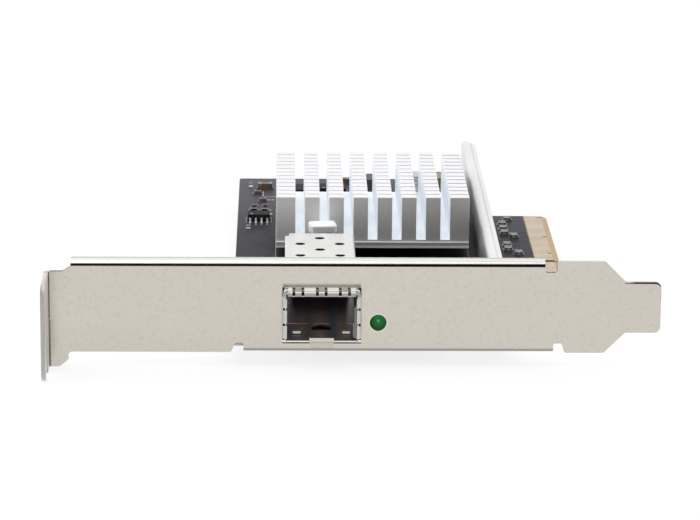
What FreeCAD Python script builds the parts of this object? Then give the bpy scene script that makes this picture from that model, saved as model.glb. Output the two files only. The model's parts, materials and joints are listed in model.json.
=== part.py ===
import FreeCAD, Part
import math
import os

# Network interface card: a single-port optical network card with a full-height bracket.
# Frame: origin at the centre of the edge connector's key notch, on the contact edge,
# in the middle of the board's thickness. +X plugs into the slot, +Y runs from the bracket
# along the card, +Z rises from the component side. Millimetres.

# Card layout
card_height = 68.9            # contact edge to the board's opposite edge
board_thickness = 1.57
board_step = 14.1             # how far the contact tongue stands out of the board's long edge
bracket_to_key = 59.65        # bracket's outer face to the key notch
board_rear = 73.75            # board's far end
board_gap = 0.5               # board's front edge to the bracket sheet
port_setback = 5.3            # board's front edge behind the bracket's face, under the cage

# Contact tongue
key_width = 1.9
key_depth = 8.25
near_tongue = 11.15
far_tongue = 38.15
contact_pitch = 1.0
contact_width = 0.7
contact_start = -5.1          # X of the contacts' inner ends
bevel_length = 1.3
bevel_depth = 0.48
plating = 0.05
short_contacts = (17, 31, 48)

# Bracket
sheet = 0.86
bend = 0.8                    # bend radius at the middle of the sheet
bracket_left = -105.2
bracket_length = 120.02
bracket_width = 18.42
tongue_width = 10.19
tongue_chamfer = (bracket_width - tongue_width) / 2
tab_reach = 11.43
slot_width = 4.42
top_flange_reach = 2.93
mount_screw_x = (-62.9, -23.5)
mount_screw_setback = 8.2     # screw centre behind the bracket's outer face

# Transceiver cage
cage_x = -51.3
cage_width = 14.3
cage_height = 9.7
cage_sheet = 0.25
cage_proud = 1.9              # how far it stands in front of the bracket
cage_length = 47.9
port_width = 15.4
port_low = 0.1
port_high = 11.4
spring_sheet = 0.12
collar_fingers = (            # spans across the cage's roof, from its middle
    (-6.6, -5.66), (-5.25, -3.91), (-3.5, -1.1), (-0.71, 0.6),
    (1.0, 3.32), (3.77, 5.12), (5.54, 6.6),
)
side_fingers = (              # height span, and how far the right side's inner leg bows inwards
    (1.6, 4.2, 0.75), (4.7, 7.3, 0.5), (7.8, 9.6, 0.0),
)
side_bow = 0.45
corner_stand = 0.42           # how far the collar's corners stand off the cage's sides
corner_rise = 0.7             # and off its roof
collar_bow = 0.84             # how far the fingers stand off the cage
collar_start = 4.4            # the band that joins the fingers, behind the cage's front edge

# Status light
led_x = -40.3
led_z = 4.3
led_radius = 1.5
led_lead = 0.5                # square wire

# Heatsink
sink_low_x = -60.3
sink_width = 41.0
sink_front = 2.35
sink_length = 42.4
sink_bottom = 3.07
sink_floor = 4.85
sink_top = 14.07
column_count = 8
row_count = 13
outer_column = 4.1
channel_width = 1.99
row_gap = 0.6
sink_base_step = 0.45         # how far the base plate stands out of the pin field, and its drop
ear_radius = 3.6
push_pin_places = ((-50.5, -1.65), (-29.1, 48.75))
pin_head_bottom = 7.94
spring_radius = 1.85
spring_wire = 0.22            # half the square wire's thickness
spring_turns = 3
spring_steps = 14             # straight lengths in one turn

# Stiffener rail
rail_left = -17.3
rail_right = -14.1
rail_front = -55.6
rail_crown = 9.3
rail_shoulder = 8.2
rail_screw_y = (-45.0, 16.0, 64.0)

board_top = board_thickness / 2
board_bottom = -board_top
board_left = -card_height
face_y = -bracket_to_key
board_front = face_y + sheet + board_gap
bracket_bottom = board_bottom - plating - sheet
bracket_top = bracket_bottom + bracket_width
bracket_right = bracket_left + bracket_length
mount_screw_y = face_y + mount_screw_setback
ear_top = sink_floor - sink_base_step

planes = {
    "x": lambda u, v, w: FreeCAD.Vector(w, u, v),
    "y": lambda u, v, w: FreeCAD.Vector(u, w, v),
    "z": lambda u, v, w: FreeCAD.Vector(u, v, w),
}


def save(name, *solids):
    shape = solids[0] if len(solids) == 1 else Part.makeCompound(list(solids))
    shape.exportStep("parts/" + name + ".step")
    print(name, len(shape.Solids), "solid(s)", round(shape.Volume, 2), "mm3", shape.isValid())


def block(x, y, z):
    size = (x[1] - x[0], y[1] - y[0], z[1] - z[0])
    return Part.makeBox(*size, FreeCAD.Vector(x[0], y[0], z[0]))


def centred(x, y, z, size_x, size_y, size_z):
    return block((x - size_x / 2, x + size_x / 2), (y - size_y / 2, y + size_y / 2), (z, z + size_z))


def rod(axis, place, low, high, radius):
    base = planes[axis](place[0], place[1], low)
    return Part.makeCylinder(radius, high - low, base, planes[axis](0, 0, 1))


def ring_of_corners(place, radius, sides):
    corners = []
    for k in range(sides):
        angle = (k + 0.5) * 2 * math.pi / sides
        corners.append((place[0] + radius * math.cos(angle), place[1] + radius * math.sin(angle), 0))
    return corners


def post(axis, place, low, high, radius, sides):
    """Upright with a regular many-sided section, for small rounds."""
    return prism(axis, ring_of_corners(place, radius, sides), low, high)


def taper(place, low, high, low_radius, high_radius, sides):
    """Many-sided cone that stands along Z."""
    wires = []
    for level, radius in ((low, low_radius), (high, high_radius)):
        points = [FreeCAD.Vector(u, v, level) for u, v, _ in ring_of_corners(place, radius, sides)]
        wires.append(Part.Wire(Part.makePolygon(points + points[:1])))
    return Part.makeLoft(wires, True, True)


def rounded_wire(corners, place):
    """Closed outline through (u, v, radius) corners, each rounded by its own radius."""
    ends = []
    for i, (u, v, radius) in enumerate(corners):
        before = corners[i - 1]
        after = corners[(i + 1) % len(corners)]
        here = FreeCAD.Vector(u, v, 0)
        back = (FreeCAD.Vector(before[0], before[1], 0) - here).normalize()
        ahead = (FreeCAD.Vector(after[0], after[1], 0) - here).normalize()
        if radius == 0:
            ends.append((here, None, here))
            continue
        half_angle = back.getAngle(ahead) / 2
        reach = radius / math.tan(half_angle)
        middle = (back + ahead).normalize() * (radius / math.sin(half_angle) - radius)
        ends.append((here + back * reach, here + middle, here + ahead * reach))
    edges = []
    for i, (start, middle, end) in enumerate(ends):
        previous_end = ends[i - 1][2]
        if previous_end.distanceToPoint(start) > 1e-6:
            edges.append(Part.LineSegment(place(previous_end), place(start)).toShape())
        if middle is not None:
            edges.append(Part.Arc(place(start), place(middle), place(end)).toShape())
    return Part.Wire(edges)


def prism(axis, corners, low, high):
    """Rounded outline on the plane normal to axis, extruded from low to high."""
    to_space = planes[axis]
    wire = rounded_wire(corners, lambda p: to_space(p.x, p.y, low))
    return Part.Face(wire).extrude(to_space(0, 0, high - low))


def rectangle(u, v, radius=0.0):
    return [(u[0], v[0], radius), (u[1], v[0], radius), (u[1], v[1], radius), (u[0], v[1], radius)]


def strip(path, thickness):
    """Outline of a bent sheet that follows path, a list of (u, v, radius at mid-sheet)."""
    sides = []
    for side in (1, -1):
        offset = []
        for i, (u, v, radius) in enumerate(path):
            here = FreeCAD.Vector(u, v, 0)
            before = FreeCAD.Vector(*path[max(i - 1, 0)][:2], 0)
            after = FreeCAD.Vector(*path[min(i + 1, len(path) - 1)][:2], 0)
            into = (here - before) if i > 0 else (after - here)
            out = (after - here) if i < len(path) - 1 else (here - before)
            into.normalize()
            out.normalize()
            normal_in = FreeCAD.Vector(-into.y, into.x, 0)
            normal_out = FreeCAD.Vector(-out.y, out.x, 0)
            scale = side * thickness / 2 / (1 + normal_in.dot(normal_out))
            moved = here + (normal_in + normal_out) * scale
            turn = math.copysign(1, into.x * out.y - into.y * out.x)
            new_radius = radius - side * turn * thickness / 2 if radius > 0 else 0
            offset.append((moved.x, moved.y, new_radius))
        sides.append(offset)
    return sides[0] + sides[1][::-1]


def fuse(solids):
    return solids[0].multiFuse(solids[1:]).removeSplitter() if len(solids) > 1 else solids[0]


def contact_y(number):
    """Centre of an edge contact: 1 to 11 before the key, 12 to 49 after it."""
    margin = key_width / 2 + (near_tongue - 10 * contact_pitch) / 2
    if number < 12:
        return -margin - (11 - number) * contact_pitch
    return margin + (number - 12) * contact_pitch


# ---------------------------------------------------------------- bracket
def make_bracket():
    z_low = bracket_bottom
    z_high = bracket_top
    tab_low = z_low - 3.0
    tab_high = z_high - 2.2
    flange_x = (-100.05, -7.9)
    ledge_x = (-66.56, -6.03)
    flange_root = bend + sheet / 2
    middle = (z_low + z_high) / 2
    neck = bracket_right - 6.9
    face = prism("y", [
        (bracket_left + flange_root, tab_high, 0),
        (-101.6, tab_high, 0.8),
        (flange_x[0], z_high - flange_root, 0),
        (flange_x[1], z_high - flange_root, 0),
        (flange_x[1], z_high - 2.2, 0.4),
        (flange_x[1] + 2.35, z_high - 2.2, 0.4),
        (flange_x[1] + 2.35, z_high, 0.3),
        (neck - tongue_chamfer, z_high, 0.5),
        (neck, middle + tongue_width / 2, 0.5),
        (bracket_right, middle + tongue_width / 2, 1.2),
        (bracket_right, middle - tongue_width / 2, 1.2),
        (neck, middle - tongue_width / 2, 0.5),
        (neck - tongue_chamfer, z_low, 0.5),
        (ledge_x[1] + 2.2, z_low, 0.5),
        (ledge_x[1] + 1.6, z_low + 1.9, 0.4),
        (ledge_x[1], z_low + 1.9, 0.4),
        (ledge_x[1], z_low + flange_root, 0),
        (ledge_x[0], z_low + flange_root, 0),
        (ledge_x[0], z_low + 1.9, 0.4),
        (ledge_x[0] - 1.6, z_low + 1.9, 0.4),
        (ledge_x[0] - 2.4, z_low, 0.5),
        (-100.15, z_low, 0.3),
        (-100.8, z_low - 0.65, 0.5),
        (-100.6, z_low - 1.55, 0.5),
        (-102.4, tab_low, 0.9),
        (bracket_left + flange_root, tab_low, 0),
    ], face_y, face_y + sheet)

    mid_sheet = face_y + sheet / 2
    top_flange = prism("x", strip([
        (mid_sheet, z_high - flange_root - 1.0, 0),
        (mid_sheet, z_high - sheet / 2, bend),
        (face_y + top_flange_reach, z_high - sheet / 2, 0),
    ], sheet), *flange_x)
    bottom_ledge = prism("x", strip([
        (mid_sheet, z_low + flange_root + 0.6, 0),
        (mid_sheet, z_low + sheet / 2, bend),
        (face_y + 3.6, z_low + sheet / 2, 0),
    ], sheet), *ledge_x)
    ears = [prism("z", rectangle((x - 3.6, x + 3.6), (face_y + 2.5, mount_screw_y + 4.2), 1.2),
                  z_low, z_low + sheet) for x in mount_screw_x]

    tab = prism("z", strip([
        (bracket_left + flange_root + 1.0, mid_sheet, 0),
        (bracket_left + sheet / 2, mid_sheet, bend),
        (bracket_left + sheet / 2, face_y - tab_reach, 0),
    ], sheet), tab_low, tab_high)
    slot_y = face_y - 6.6
    slot_end = z_low + 5.55
    tab_form = prism("x", rectangle((face_y - tab_reach, face_y + 5.0), (tab_low, tab_high), 2.1),
                     bracket_left - 1, bracket_left + 6)
    slot = prism("x", rectangle((slot_y - slot_width / 2, slot_y + slot_width / 2),
                                (tab_low - 5.0, slot_end), slot_width / 2 - 0.001),
                 bracket_left - 1, bracket_left + sheet + 1)
    tab = tab.common(tab_form).cut(slot)

    bracket = fuse([face, top_flange, bottom_ledge, tab] + ears)
    window = prism("y", rectangle((cage_x - port_width / 2, cage_x + port_width / 2),
                                  (port_low, port_high)), face_y - 1, face_y + sheet + 1)
    light_hole = rod("y", (led_x, led_z), face_y - 1, face_y + sheet + 1, led_radius + 0.15)
    holes = [post("z", (x, mount_screw_y), z_low - 1, z_low + sheet + 1, 1.25, 12) for x in mount_screw_x]
    return bracket.cut(Part.makeCompound([window, light_hole] + holes))


def make_bracket_screws():
    screws = []
    for x in mount_screw_x:
        place = (x, mount_screw_y)
        head = post("z", place, board_top, board_top + 1.2, 2.75, 24)
        crown = taper(place, board_top + 1.2, board_top + 1.8, 2.75, 2.0, 24)
        shank = post("z", place, bracket_bottom - 0.6, board_top, 1.25, 12)
        recess = [centred(x, mount_screw_y, board_top + 0.7, *size, 2.0)
                  for size in ((2.9, 0.6), (0.6, 2.9))]
        screws.append(fuse([head, crown, shank]).cut(fuse(recess)))
    return screws


# ---------------------------------------------------------------- board
def cage_pin_places():
    side = cage_width / 2 - cage_sheet / 2
    return [(cage_x + sign * side, y) for y in (-50.5, -40.5, -30.5, -20.5) for sign in (-1, 1)]


def led_lead_places():
    return [(led_x + offset, face_y + 4.6) for offset in (-1.27, 1.27)]


def make_board():
    tongue_low = -key_width / 2 - near_tongue
    tongue_high = key_width / 2 + far_tongue
    half_key = key_width / 2
    port_notch = (cage_x - cage_width / 2 - 1.2, cage_x + cage_width / 2 + 1.2)
    board = prism("z", [
        (board_left, board_front, 0.8),
        (port_notch[0], board_front, 0),
        (port_notch[0], face_y + port_setback, 0),
        (port_notch[1], face_y + port_setback, 0),
        (port_notch[1], board_front, 0),
        (-board_step, board_front, 0.8),
        (-board_step, tongue_low, 1.0),
        (0, tongue_low, 0.6),
        (0, -half_key, 0),
        (-key_depth, -half_key, half_key - 0.01),
        (-key_depth, half_key, half_key - 0.01),
        (0, half_key, 0),
        (0, tongue_high, 0.6),
        (-board_step, tongue_high, 1.0),
        (-board_step, board_rear, 0.8),
        (board_left, board_rear, 0.8),
    ], board_bottom, board_top)
    bevels = []
    for side in (1, -1):
        surface = side * board_top
        bevels.append(prism("y", [
            (-bevel_length, surface, 0),
            (1.0, surface - side * bevel_depth * (1 + 1 / bevel_length), 0),
            (1.0, surface + side * 1.0, 0),
            (-bevel_length, surface + side * 1.0, 0),
        ], tongue_low - 1, tongue_high + 1))
    holes = [post("z", (x, mount_screw_y), -2, 2, 1.6, 16) for x in mount_screw_x]
    holes += [post("z", place, -2, 2, 1.6, 16) for place in push_pin_places]
    holes += [post("z", ((rail_left + rail_right) / 2, y), -2, 2, 1.1, 12) for y in rail_screw_y]
    holes += [post("z", place, -2, 2, 0.55, 8) for place in cage_pin_places() + led_lead_places()]
    return board.cut(Part.makeCompound(bevels)).cut(Part.makeCompound(holes))


def make_contacts(side):
    contacts = []
    for number in range(1, 50):
        y = contact_y(number)
        end = -bevel_length - (0.9 if number in short_contacts and side > 0 else 0)
        z = (board_top, board_top + plating) if side > 0 else (board_bottom - plating, board_bottom)
        contacts.append(block((contact_start, end), (y - contact_width / 2, y + contact_width / 2), z))
    return contacts


def make_ground_pads():
    pads = []
    for x in mount_screw_x:
        land = centred(x, mount_screw_y, board_bottom - plating, 5.8, 5.8, plating)
        pads.append(land.cut(post("z", (x, mount_screw_y), -3, 3, 1.6, 16)))
    return pads


# ---------------------------------------------------------------- transceiver cage
cage_front = face_y - cage_proud
cage_rear = cage_front + cage_length
cage_top = board_top + cage_height
cage_left = cage_x - cage_width / 2
cage_right = cage_x + cage_width / 2


def make_cage_shell():
    half = cage_sheet / 2
    skirt = board_top
    shell = prism("y", strip([
        (cage_left + half, skirt, 0),
        (cage_left + half, cage_top - half, 0.4),
        (cage_right - half, cage_top - half, 0.4),
        (cage_right - half, skirt, 0),
    ], cage_sheet), cage_front, cage_rear - 0.8)
    rear = prism("x", strip([
        (cage_rear - 2.6, cage_top - half, 0),
        (cage_rear - half, cage_top - half, 0.6),
        (cage_rear - half, board_top + 1.0, 0),
    ], cage_sheet), cage_left + 0.9, cage_right - 0.9)
    corner_cuts = [block((x, x + 1.0), (cage_rear - 2.6, cage_rear), (cage_top - 0.6, cage_top + 1))
                   for x in (cage_left - 0.1, cage_right - 0.9)]
    vents = []
    for row in range(4):
        y = face_y + 14.1 + row * 9.15
        for offset, step in ((0, 0), (-4.03, -4.6), (4.03, -4.6)):
            vents.append(post("z", (cage_x + offset, y + step), cage_top - 1, cage_top + 1, 1.02, 12))
    side_window = block((cage_left - 1, cage_right + 1), (face_y + 22.0, face_y + 25.2),
                        (board_top + 5.6, board_top + 7.4))
    pins = []
    for x, y in cage_pin_places():
        pins.append(prism("x", [
            (y - 0.42, board_top + 0.3, 0),
            (y + 0.42, board_top + 0.3, 0),
            (y + 0.42, board_bottom - 0.7, 0),
            (y + 0.14, board_bottom - 1.2, 0),
            (y - 0.14, board_bottom - 1.2, 0),
            (y - 0.42, board_bottom - 0.7, 0),
        ], x - half, x + half))
    slits = [block((cage_x + before[1], cage_x + after[0]), (cage_front - 1, cage_front + 2.0),
                   (cage_top - 1, cage_top + 1)) for before, after in zip(collar_fingers, collar_fingers[1:])]
    body = shell.cut(Part.makeCompound(corner_cuts)).fuse(rear)
    body = body.cut(Part.makeCompound(vents + slits + [side_window]))
    return fuse([body] + pins)


def make_cage_floor():
    low = board_top
    inner = (cage_left + cage_sheet, cage_right - cage_sheet)
    plate = block(inner, (cage_front + 1.0, face_y + 31.7), (low, low + cage_sheet))
    latch_window = prism("z", [
        (cage_x - 1.9, face_y + 6.2, 0),
        (cage_x + 1.9, face_y + 6.2, 0),
        (cage_x + 1.9, face_y + 8.4, 0),
        (cage_x, face_y + 10.2, 0),
        (cage_x - 1.9, face_y + 8.4, 0),
    ], low - 1, low + 2)
    mid = low + cage_sheet / 2
    tongue = prism("x", strip([
        (cage_front + 2.0, mid, 0),
        (cage_front + 0.1, mid, 0.5),
        (cage_front - 0.75, mid - 0.85, 0),
    ], cage_sheet), cage_x - 2.35, cage_x + 2.35)
    springs = [prism("x", strip([
        (face_y + 6.4, mid, 0),
        (face_y + 5.2, mid, 0.5),
        (face_y + 3.8, mid + 0.45, 0.4),
        (face_y + 3.0, mid + 0.3, 0),
    ], cage_sheet), x - 0.75, x + 0.75) for x in (cage_x - 4.85, cage_x + 4.85)]
    slots = [block((x - 0.95, x + 0.95), (face_y + 2.6, face_y + 5.3), (low - 1, low + cage_sheet))
             for x in (cage_x - 4.85, cage_x + 4.85)]
    return fuse([plate.cut(latch_window).cut(Part.makeCompound(slots)), tongue] + springs)


def finger(wall, out, reach, inward=0.0):
    """Outline of a spring finger: an inner leg, a hook over the cage's front edge and an outer bow."""
    half = spring_sheet / 2
    nose = cage_front - half
    inner = wall - out * (cage_sheet + half)
    leg = [(nose + 1.3, inner, 0)]
    if inward > 0:
        leg = [(nose + 3.4, inner, 0), (nose + 1.7, inner - out * inward, 0.9)]
    return strip(leg + [
        (nose, inner, 0),
        (nose, wall + out * 0.3, 0),
        (nose + 0.25, wall + out * 0.5, 0),
        (cage_front + 1.55, wall + out * reach, 1.5),
        (cage_front + collar_start - 0.1, wall + out * half, 0),
        (cage_front + collar_start + 0.8, wall + out * half, 0),
    ], spring_sheet)


def make_emi_collar():
    cage_solid = prism("y", [
        (cage_left, board_top, 0),
        (cage_right, board_top, 0),
        (cage_right, cage_top, 0.5),
        (cage_left, cage_top, 0.5),
    ], cage_front - 1, cage_rear)
    band = prism("y", [
        (cage_left - spring_sheet, board_top - spring_sheet, 0),
        (cage_right + spring_sheet, board_top - spring_sheet, 0),
        (cage_right + spring_sheet, cage_top + spring_sheet, 0.55),
        (cage_left - spring_sheet, cage_top + spring_sheet, 0.55),
    ], cage_front + collar_start, cage_front + collar_start + 0.5)
    hood = prism("y", rectangle((cage_left - corner_stand, cage_right + corner_stand),
                                (board_top, cage_top + corner_rise), 0.95),
                 cage_front - spring_sheet, cage_front + 1.5)
    low_x = cage_x + collar_fingers[0][0] + 0.05
    high_x = cage_x + collar_fingers[-1][1] - 0.05
    parts = [band.cut(cage_solid)]
    for span in ((cage_left - 1.0, low_x), (high_x, cage_right + 1.0)):
        corner = block(span, (cage_front - 1, cage_front + 3), (side_fingers[-1][1] - 0.1, cage_top + 2))
        parts.append(hood.cut(cage_solid).common(corner))
    for low, high in collar_fingers:
        parts.append(prism("x", finger(cage_top, 1, collar_bow), cage_x + low, cage_x + high))
    for low, high, inward in side_fingers:
        for wall, out, bow in ((cage_left, -1, 0.0), (cage_right, 1, inward)):
            turned = [(v, u, radius) for u, v, radius in finger(wall, out, side_bow, bow)]
            parts.append(prism("z", turned, low, high))
    return fuse(parts)


def make_port_connector():
    front = face_y + 33.0
    rear = face_y + 43.5
    low = board_top
    housing = block((cage_x - 5.85, cage_x + 5.85), (front, rear), (low, low + 6.1))
    mouth = block((cage_x - 5.05, cage_x + 5.05), (front - 1, front + 6.5), (low + 2.7, low + 4.1))
    relief = block((cage_x - 4.2, cage_x + 4.2), (front + 7.8, rear + 1), (low - 1, low + 2.2))
    lead_in = prism("x", [
        (front, low + 2.3, 0),
        (front + 0.8, low + 2.9, 0),
        (front + 0.8, low + 3.9, 0),
        (front, low + 4.5, 0),
    ], cage_x - 5.05, cage_x + 5.05)
    return housing.cut(Part.makeCompound([mouth, relief, lead_in]))


def make_port_contacts():
    contacts = []
    low = board_top
    for index in range(10):
        x = cage_x - 3.6 + index * 0.8
        rear_foot = strip([
            (face_y + 45.0, low + 0.1, 0),
            (face_y + 43.2, low + 0.1, 0),
            (face_y + 42.0, low + 1.9, 0),
        ], 0.2)
        contacts.append(prism("x", rear_foot, x - 0.15, x + 0.15))
        front_foot = block((x - 0.15, x + 0.15), (face_y + 31.9, face_y + 33.0), (low, low + 0.2))
        contacts.append(front_foot)
    return contacts


# ---------------------------------------------------------------- status light
def make_led_housing():
    front = face_y + sheet + 0.25
    housing = prism("x", [
        (front, board_top, 0),
        (front + 5.6, board_top, 0),
        (front + 5.6, led_z + 1.0, 1.2),
        (front + 4.0, led_z + 2.4, 0),
        (front, led_z + 2.4, 0),
    ], led_x - 2.45, led_x + 2.45)
    bore = rod("y", (led_x, led_z), front - 1, front + 3.4, led_radius)
    leads = [centred(*place, 0, led_lead, led_lead, led_z) for place in led_lead_places()]
    return housing.cut(bore).cut(Part.makeCompound(leads))


def make_led_lens():
    tip = face_y - 0.75
    lens = rod("y", (led_x, led_z), tip, face_y + sheet + 0.25 + 3.4, led_radius)
    return lens.makeChamfer(0.5, [edge for edge in lens.Edges if abs(edge.CenterOfMass.y - tip) < 1e-6])


def make_led_leads():
    leads = []
    for place in led_lead_places():
        low = board_bottom - 1.3
        leads.append(centred(*place, low, led_lead, led_lead, led_z - led_radius - low))
    return leads


# ---------------------------------------------------------------- cooling
def make_heatsink():
    inner_column = (sink_width - 2 * outer_column - (column_count - 1) * channel_width)
    inner_column = inner_column / (column_count - 2)
    body = block((sink_low_x, sink_low_x + sink_width), (sink_front, sink_front + sink_length),
                 (sink_floor - 0.85, sink_top))
    base = block((sink_low_x, sink_low_x + sink_width),
                 (sink_front - sink_base_step, sink_front + sink_length + sink_base_step),
                 (sink_bottom, ear_top))
    cuts = []
    x = sink_low_x + outer_column
    for _ in range(column_count - 1):
        cuts.append(block((x, x + channel_width), (sink_front - 1, sink_front + sink_length + 1),
                          (sink_floor, sink_top + 1)))
        x += channel_width + inner_column
    pitch = (sink_length + row_gap) / row_count
    for row in range(row_count - 1):
        y = sink_front + (row + 1) * pitch - row_gap
        cuts.append(block((sink_low_x - 1, sink_low_x + sink_width + 1), (y, y + row_gap),
                          (sink_floor + 1.0, sink_top + 1)))
    ears = []
    for x, y in push_pin_places:
        inside = sink_front + 1 if y < sink_front else sink_front + sink_length - 1
        ears.append(rod("z", (x, y), sink_bottom, ear_top, ear_radius))
        ears.append(block((x - ear_radius, x + ear_radius), (min(y, inside), max(y, inside)),
                          (sink_bottom, ear_top)))
    ear_holes = [post("z", place, sink_bottom - 1, sink_floor + 0.5, 1.6, 16) for place in push_pin_places]
    solid = fuse([body.cut(Part.makeCompound(cuts)), base] + ears)
    return solid.cut(Part.makeCompound(ear_holes))


chip_x = sink_low_x + sink_width / 2
chip_y = sink_front + sink_length / 2


def make_chip_substrate():
    return centred(chip_x, chip_y, board_top + 0.4, 23.0, 23.0, 0.6)


def make_chip_balls():
    pitch = 2.2
    balls = []
    for i in range(10):
        for j in range(10):
            edge = i in (0, 9) or j in (0, 9)
            if not edge:
                continue
            place = (chip_x + (i - 4.5) * pitch, chip_y + (j - 4.5) * pitch)
            balls.append(post("z", place, board_top, board_top + 0.4, 0.4, 4))
    return balls


def make_chip_body():
    low = board_top + 1.0
    base = centred(chip_x, chip_y, low, 20.0, 20.0, 1.1)
    upright = [edge for edge in base.Edges if abs(edge.tangentAt(0).z) > 0.9]
    return base.makeChamfer(0.8, upright)


def make_thermal_pad():
    low = board_top + 2.1
    return centred(chip_x, chip_y, low, 19.0, 19.0, sink_bottom - low)


def make_push_pins():
    pins = []
    for x, y in push_pin_places:
        head = centred(0, 0, pin_head_bottom, 5.7, 4.6, 1.5)
        head = head.makeChamfer(0.6, [edge for edge in head.Edges if abs(edge.tangentAt(0).z) > 0.9])
        head = head.makeChamfer(0.25, [edge for edge in head.Edges
                                       if abs(edge.CenterOfMass.z - pin_head_bottom - 1.5) < 1e-6])
        head.rotate(FreeCAD.Vector(0, 0, 0), FreeCAD.Vector(0, 0, 1), 7)
        head.translate(FreeCAD.Vector(x, y, 0))
        shank = post("z", (x, y), board_bottom - 0.2, pin_head_bottom, 1.3, 12)
        barb = taper((x, y), board_bottom - 2.0, board_bottom - 0.05, 0.8, 1.75, 12)
        split = centred(x, y, board_bottom - 3.0, 0.5, 5.0, 4.2)
        pins.append(fuse([head, shank, barb]).cut(split))
    return pins


def make_pin_springs():
    """Compression coils round the push pins, between the ears and the heads."""
    low = ear_top + spring_wire
    rise = pin_head_bottom - spring_wire - low
    steps = spring_turns * spring_steps
    sections = []
    for step in range(steps + 1):
        turn = 2 * math.pi * step / spring_steps
        height = low + rise * step / steps
        corners = []
        for out, up in ((-1, -1), (1, -1), (1, 1), (-1, 1)):
            radius = spring_radius + out * spring_wire
            corners.append(FreeCAD.Vector(radius * math.cos(turn), radius * math.sin(turn),
                                          height + up * spring_wire))
        sections.append(Part.Wire(Part.makePolygon(corners + corners[:1])))
    coil = Part.makeLoft(sections, True, True)
    springs = []
    for x, y in push_pin_places:
        placed = coil.copy()
        placed.translate(FreeCAD.Vector(x, y, 0))
        springs.append(placed)
    return springs


# ---------------------------------------------------------------- stiffener rail
def make_rail():
    low = board_top
    left = rail_left
    right = rail_right
    profile = [
        (left, low, 0.2),
        (right, low, 0.2),
        (right, low + rail_shoulder, 0.5),
        (left + 2.15, low + rail_crown - 0.45, 0.1),
        (left + 2.1, low + rail_crown - 0.7, 0),
        (left + 1.85, low + rail_crown - 0.62, 0),
        (left + 1.8, low + rail_crown - 0.3, 0.1),
        (left + 1.1, low + rail_crown, 0.6),
        (left, low + rail_crown - 0.5, 0.8),
    ]
    rail = prism("y", profile, rail_front, board_rear)
    middle = (left + right) / 2
    holes = [post("z", (middle, y), low - 1, low + 4.0, 0.8, 12) for y in rail_screw_y]
    return rail.cut(Part.makeCompound(holes))


def make_rail_screws():
    screws = []
    middle = (rail_left + rail_right) / 2
    for y in rail_screw_y:
        shank = post("z", (middle, y), board_bottom, board_top + 3.6, 0.8, 12)
        head = post("z", (middle, y), board_bottom - 1.1, board_bottom, 1.9, 16)
        recess = [centred(middle, y, board_bottom - 2.0, *size, 1.5) for size in ((2.0, 0.45), (0.45, 2.0))]
        screws.append(fuse([shank, head]).cut(fuse(recess)))
    return screws


# ---------------------------------------------------------------- small components
def gull_wing(x, y, side, width):
    """One leg that leaves a package side and lands on the board; side is -1 or +1 along Y."""
    path = [
        (y, board_top + 0.85, 0),
        (y + side * 0.45, board_top + 0.85, 0),
        (y + side * 0.62, board_top + 0.1, 0),
        (y + side * 1.15, board_top + 0.1, 0),
    ]
    if side > 0:
        path = path[::-1]
    return prism("x", strip(path, 0.2), x - width / 2, x + width / 2)


flash_x = -64.2
flash_y = 34.9


def make_flash_body():
    low = board_top + 0.15
    lower = centred(flash_x, flash_y, low, 4.9, 3.9, 0.7)
    upper = Part.makeLoft([
        rounded_wire(rectangle((flash_x - 2.45, flash_x + 2.45), (flash_y - 1.95, flash_y + 1.95)),
                     lambda p: FreeCAD.Vector(p.x, p.y, low + 0.7)),
        rounded_wire(rectangle((flash_x - 2.35, flash_x + 2.35), (flash_y - 1.75, flash_y + 1.75)),
                     lambda p: FreeCAD.Vector(p.x, p.y, low + 1.5)),
    ], True)
    return fuse([lower, upper])


def make_flash_legs():
    legs = []
    for side in (-1, 1):
        for index in range(4):
            x = flash_x + (index - 1.5) * 1.27
            legs.append(gull_wing(x, flash_y + side * 1.95, side, 0.42))
    return legs


def chip_part(x, y, along, length, width, height, terminal):
    """Body and two end terminals of a small surface-mount part that lies along X or Y."""
    size = (length, width) if along == "x" else (width, length)
    inner = length - 2 * terminal
    body_size = (inner, width) if along == "x" else (width, inner)
    body = centred(x, y, board_top + 0.03, *body_size, height - 0.06)
    ends = []
    for side in (-1, 1):
        shift = side * (length - terminal) / 2
        dx, dy = (shift, 0) if along == "x" else (0, shift)
        end_size = (terminal, size[1]) if along == "x" else (size[0], terminal)
        ends.append(centred(x + dx, y + dy, board_top, *end_size, height))
    return body, ends


lane_rows = (
    (-8.4, 6.0), (-10.4, 9.5), (-10.4, 13.0), (-8.5, 20.5),
    (-10.4, 23.3), (-10.4, 27.2), (-10.4, 31.2), (-9.0, 35.5),
)
coupling_places = [(x, y + offset) for x, y in lane_rows for offset in (-0.55, 0.55)]
large_chip = (3.2, 1.6, 1.5)  # length, width and height
small_chip = (1.6, 0.8, 0.8)
tiny_chip = (1.0, 0.5, 0.5)
ceramic_places = [
    (-62.9, 63.4, "x", *large_chip), (-45.0, 68.5, "x", *large_chip), (-30.5, 68.5, "x", *large_chip),
    (-66.2, 66.4, "y", *small_chip), (-64.6, 58.6, "x", *small_chip), (-63.4, 51.6, "x", *small_chip),
    (-61.7, 40.4, "y", *small_chip), (-58.0, 66.0, "x", *small_chip), (-22.0, 56.0, "y", *small_chip),
    (-22.0, 60.0, "y", *small_chip), (-33.0, -50.0, "x", *small_chip), (-33.0, -47.0, "x", *small_chip),
    (-40.0, -38.0, "y", *small_chip), (-37.0, -38.0, "y", *small_chip), (-34.0, -38.0, "y", *small_chip),
    (-20.5, -12.0, "y", *small_chip), (-65.2, 46.8, "x", *tiny_chip), (-62.8, 47.2, "x", *tiny_chip),
]
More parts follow.
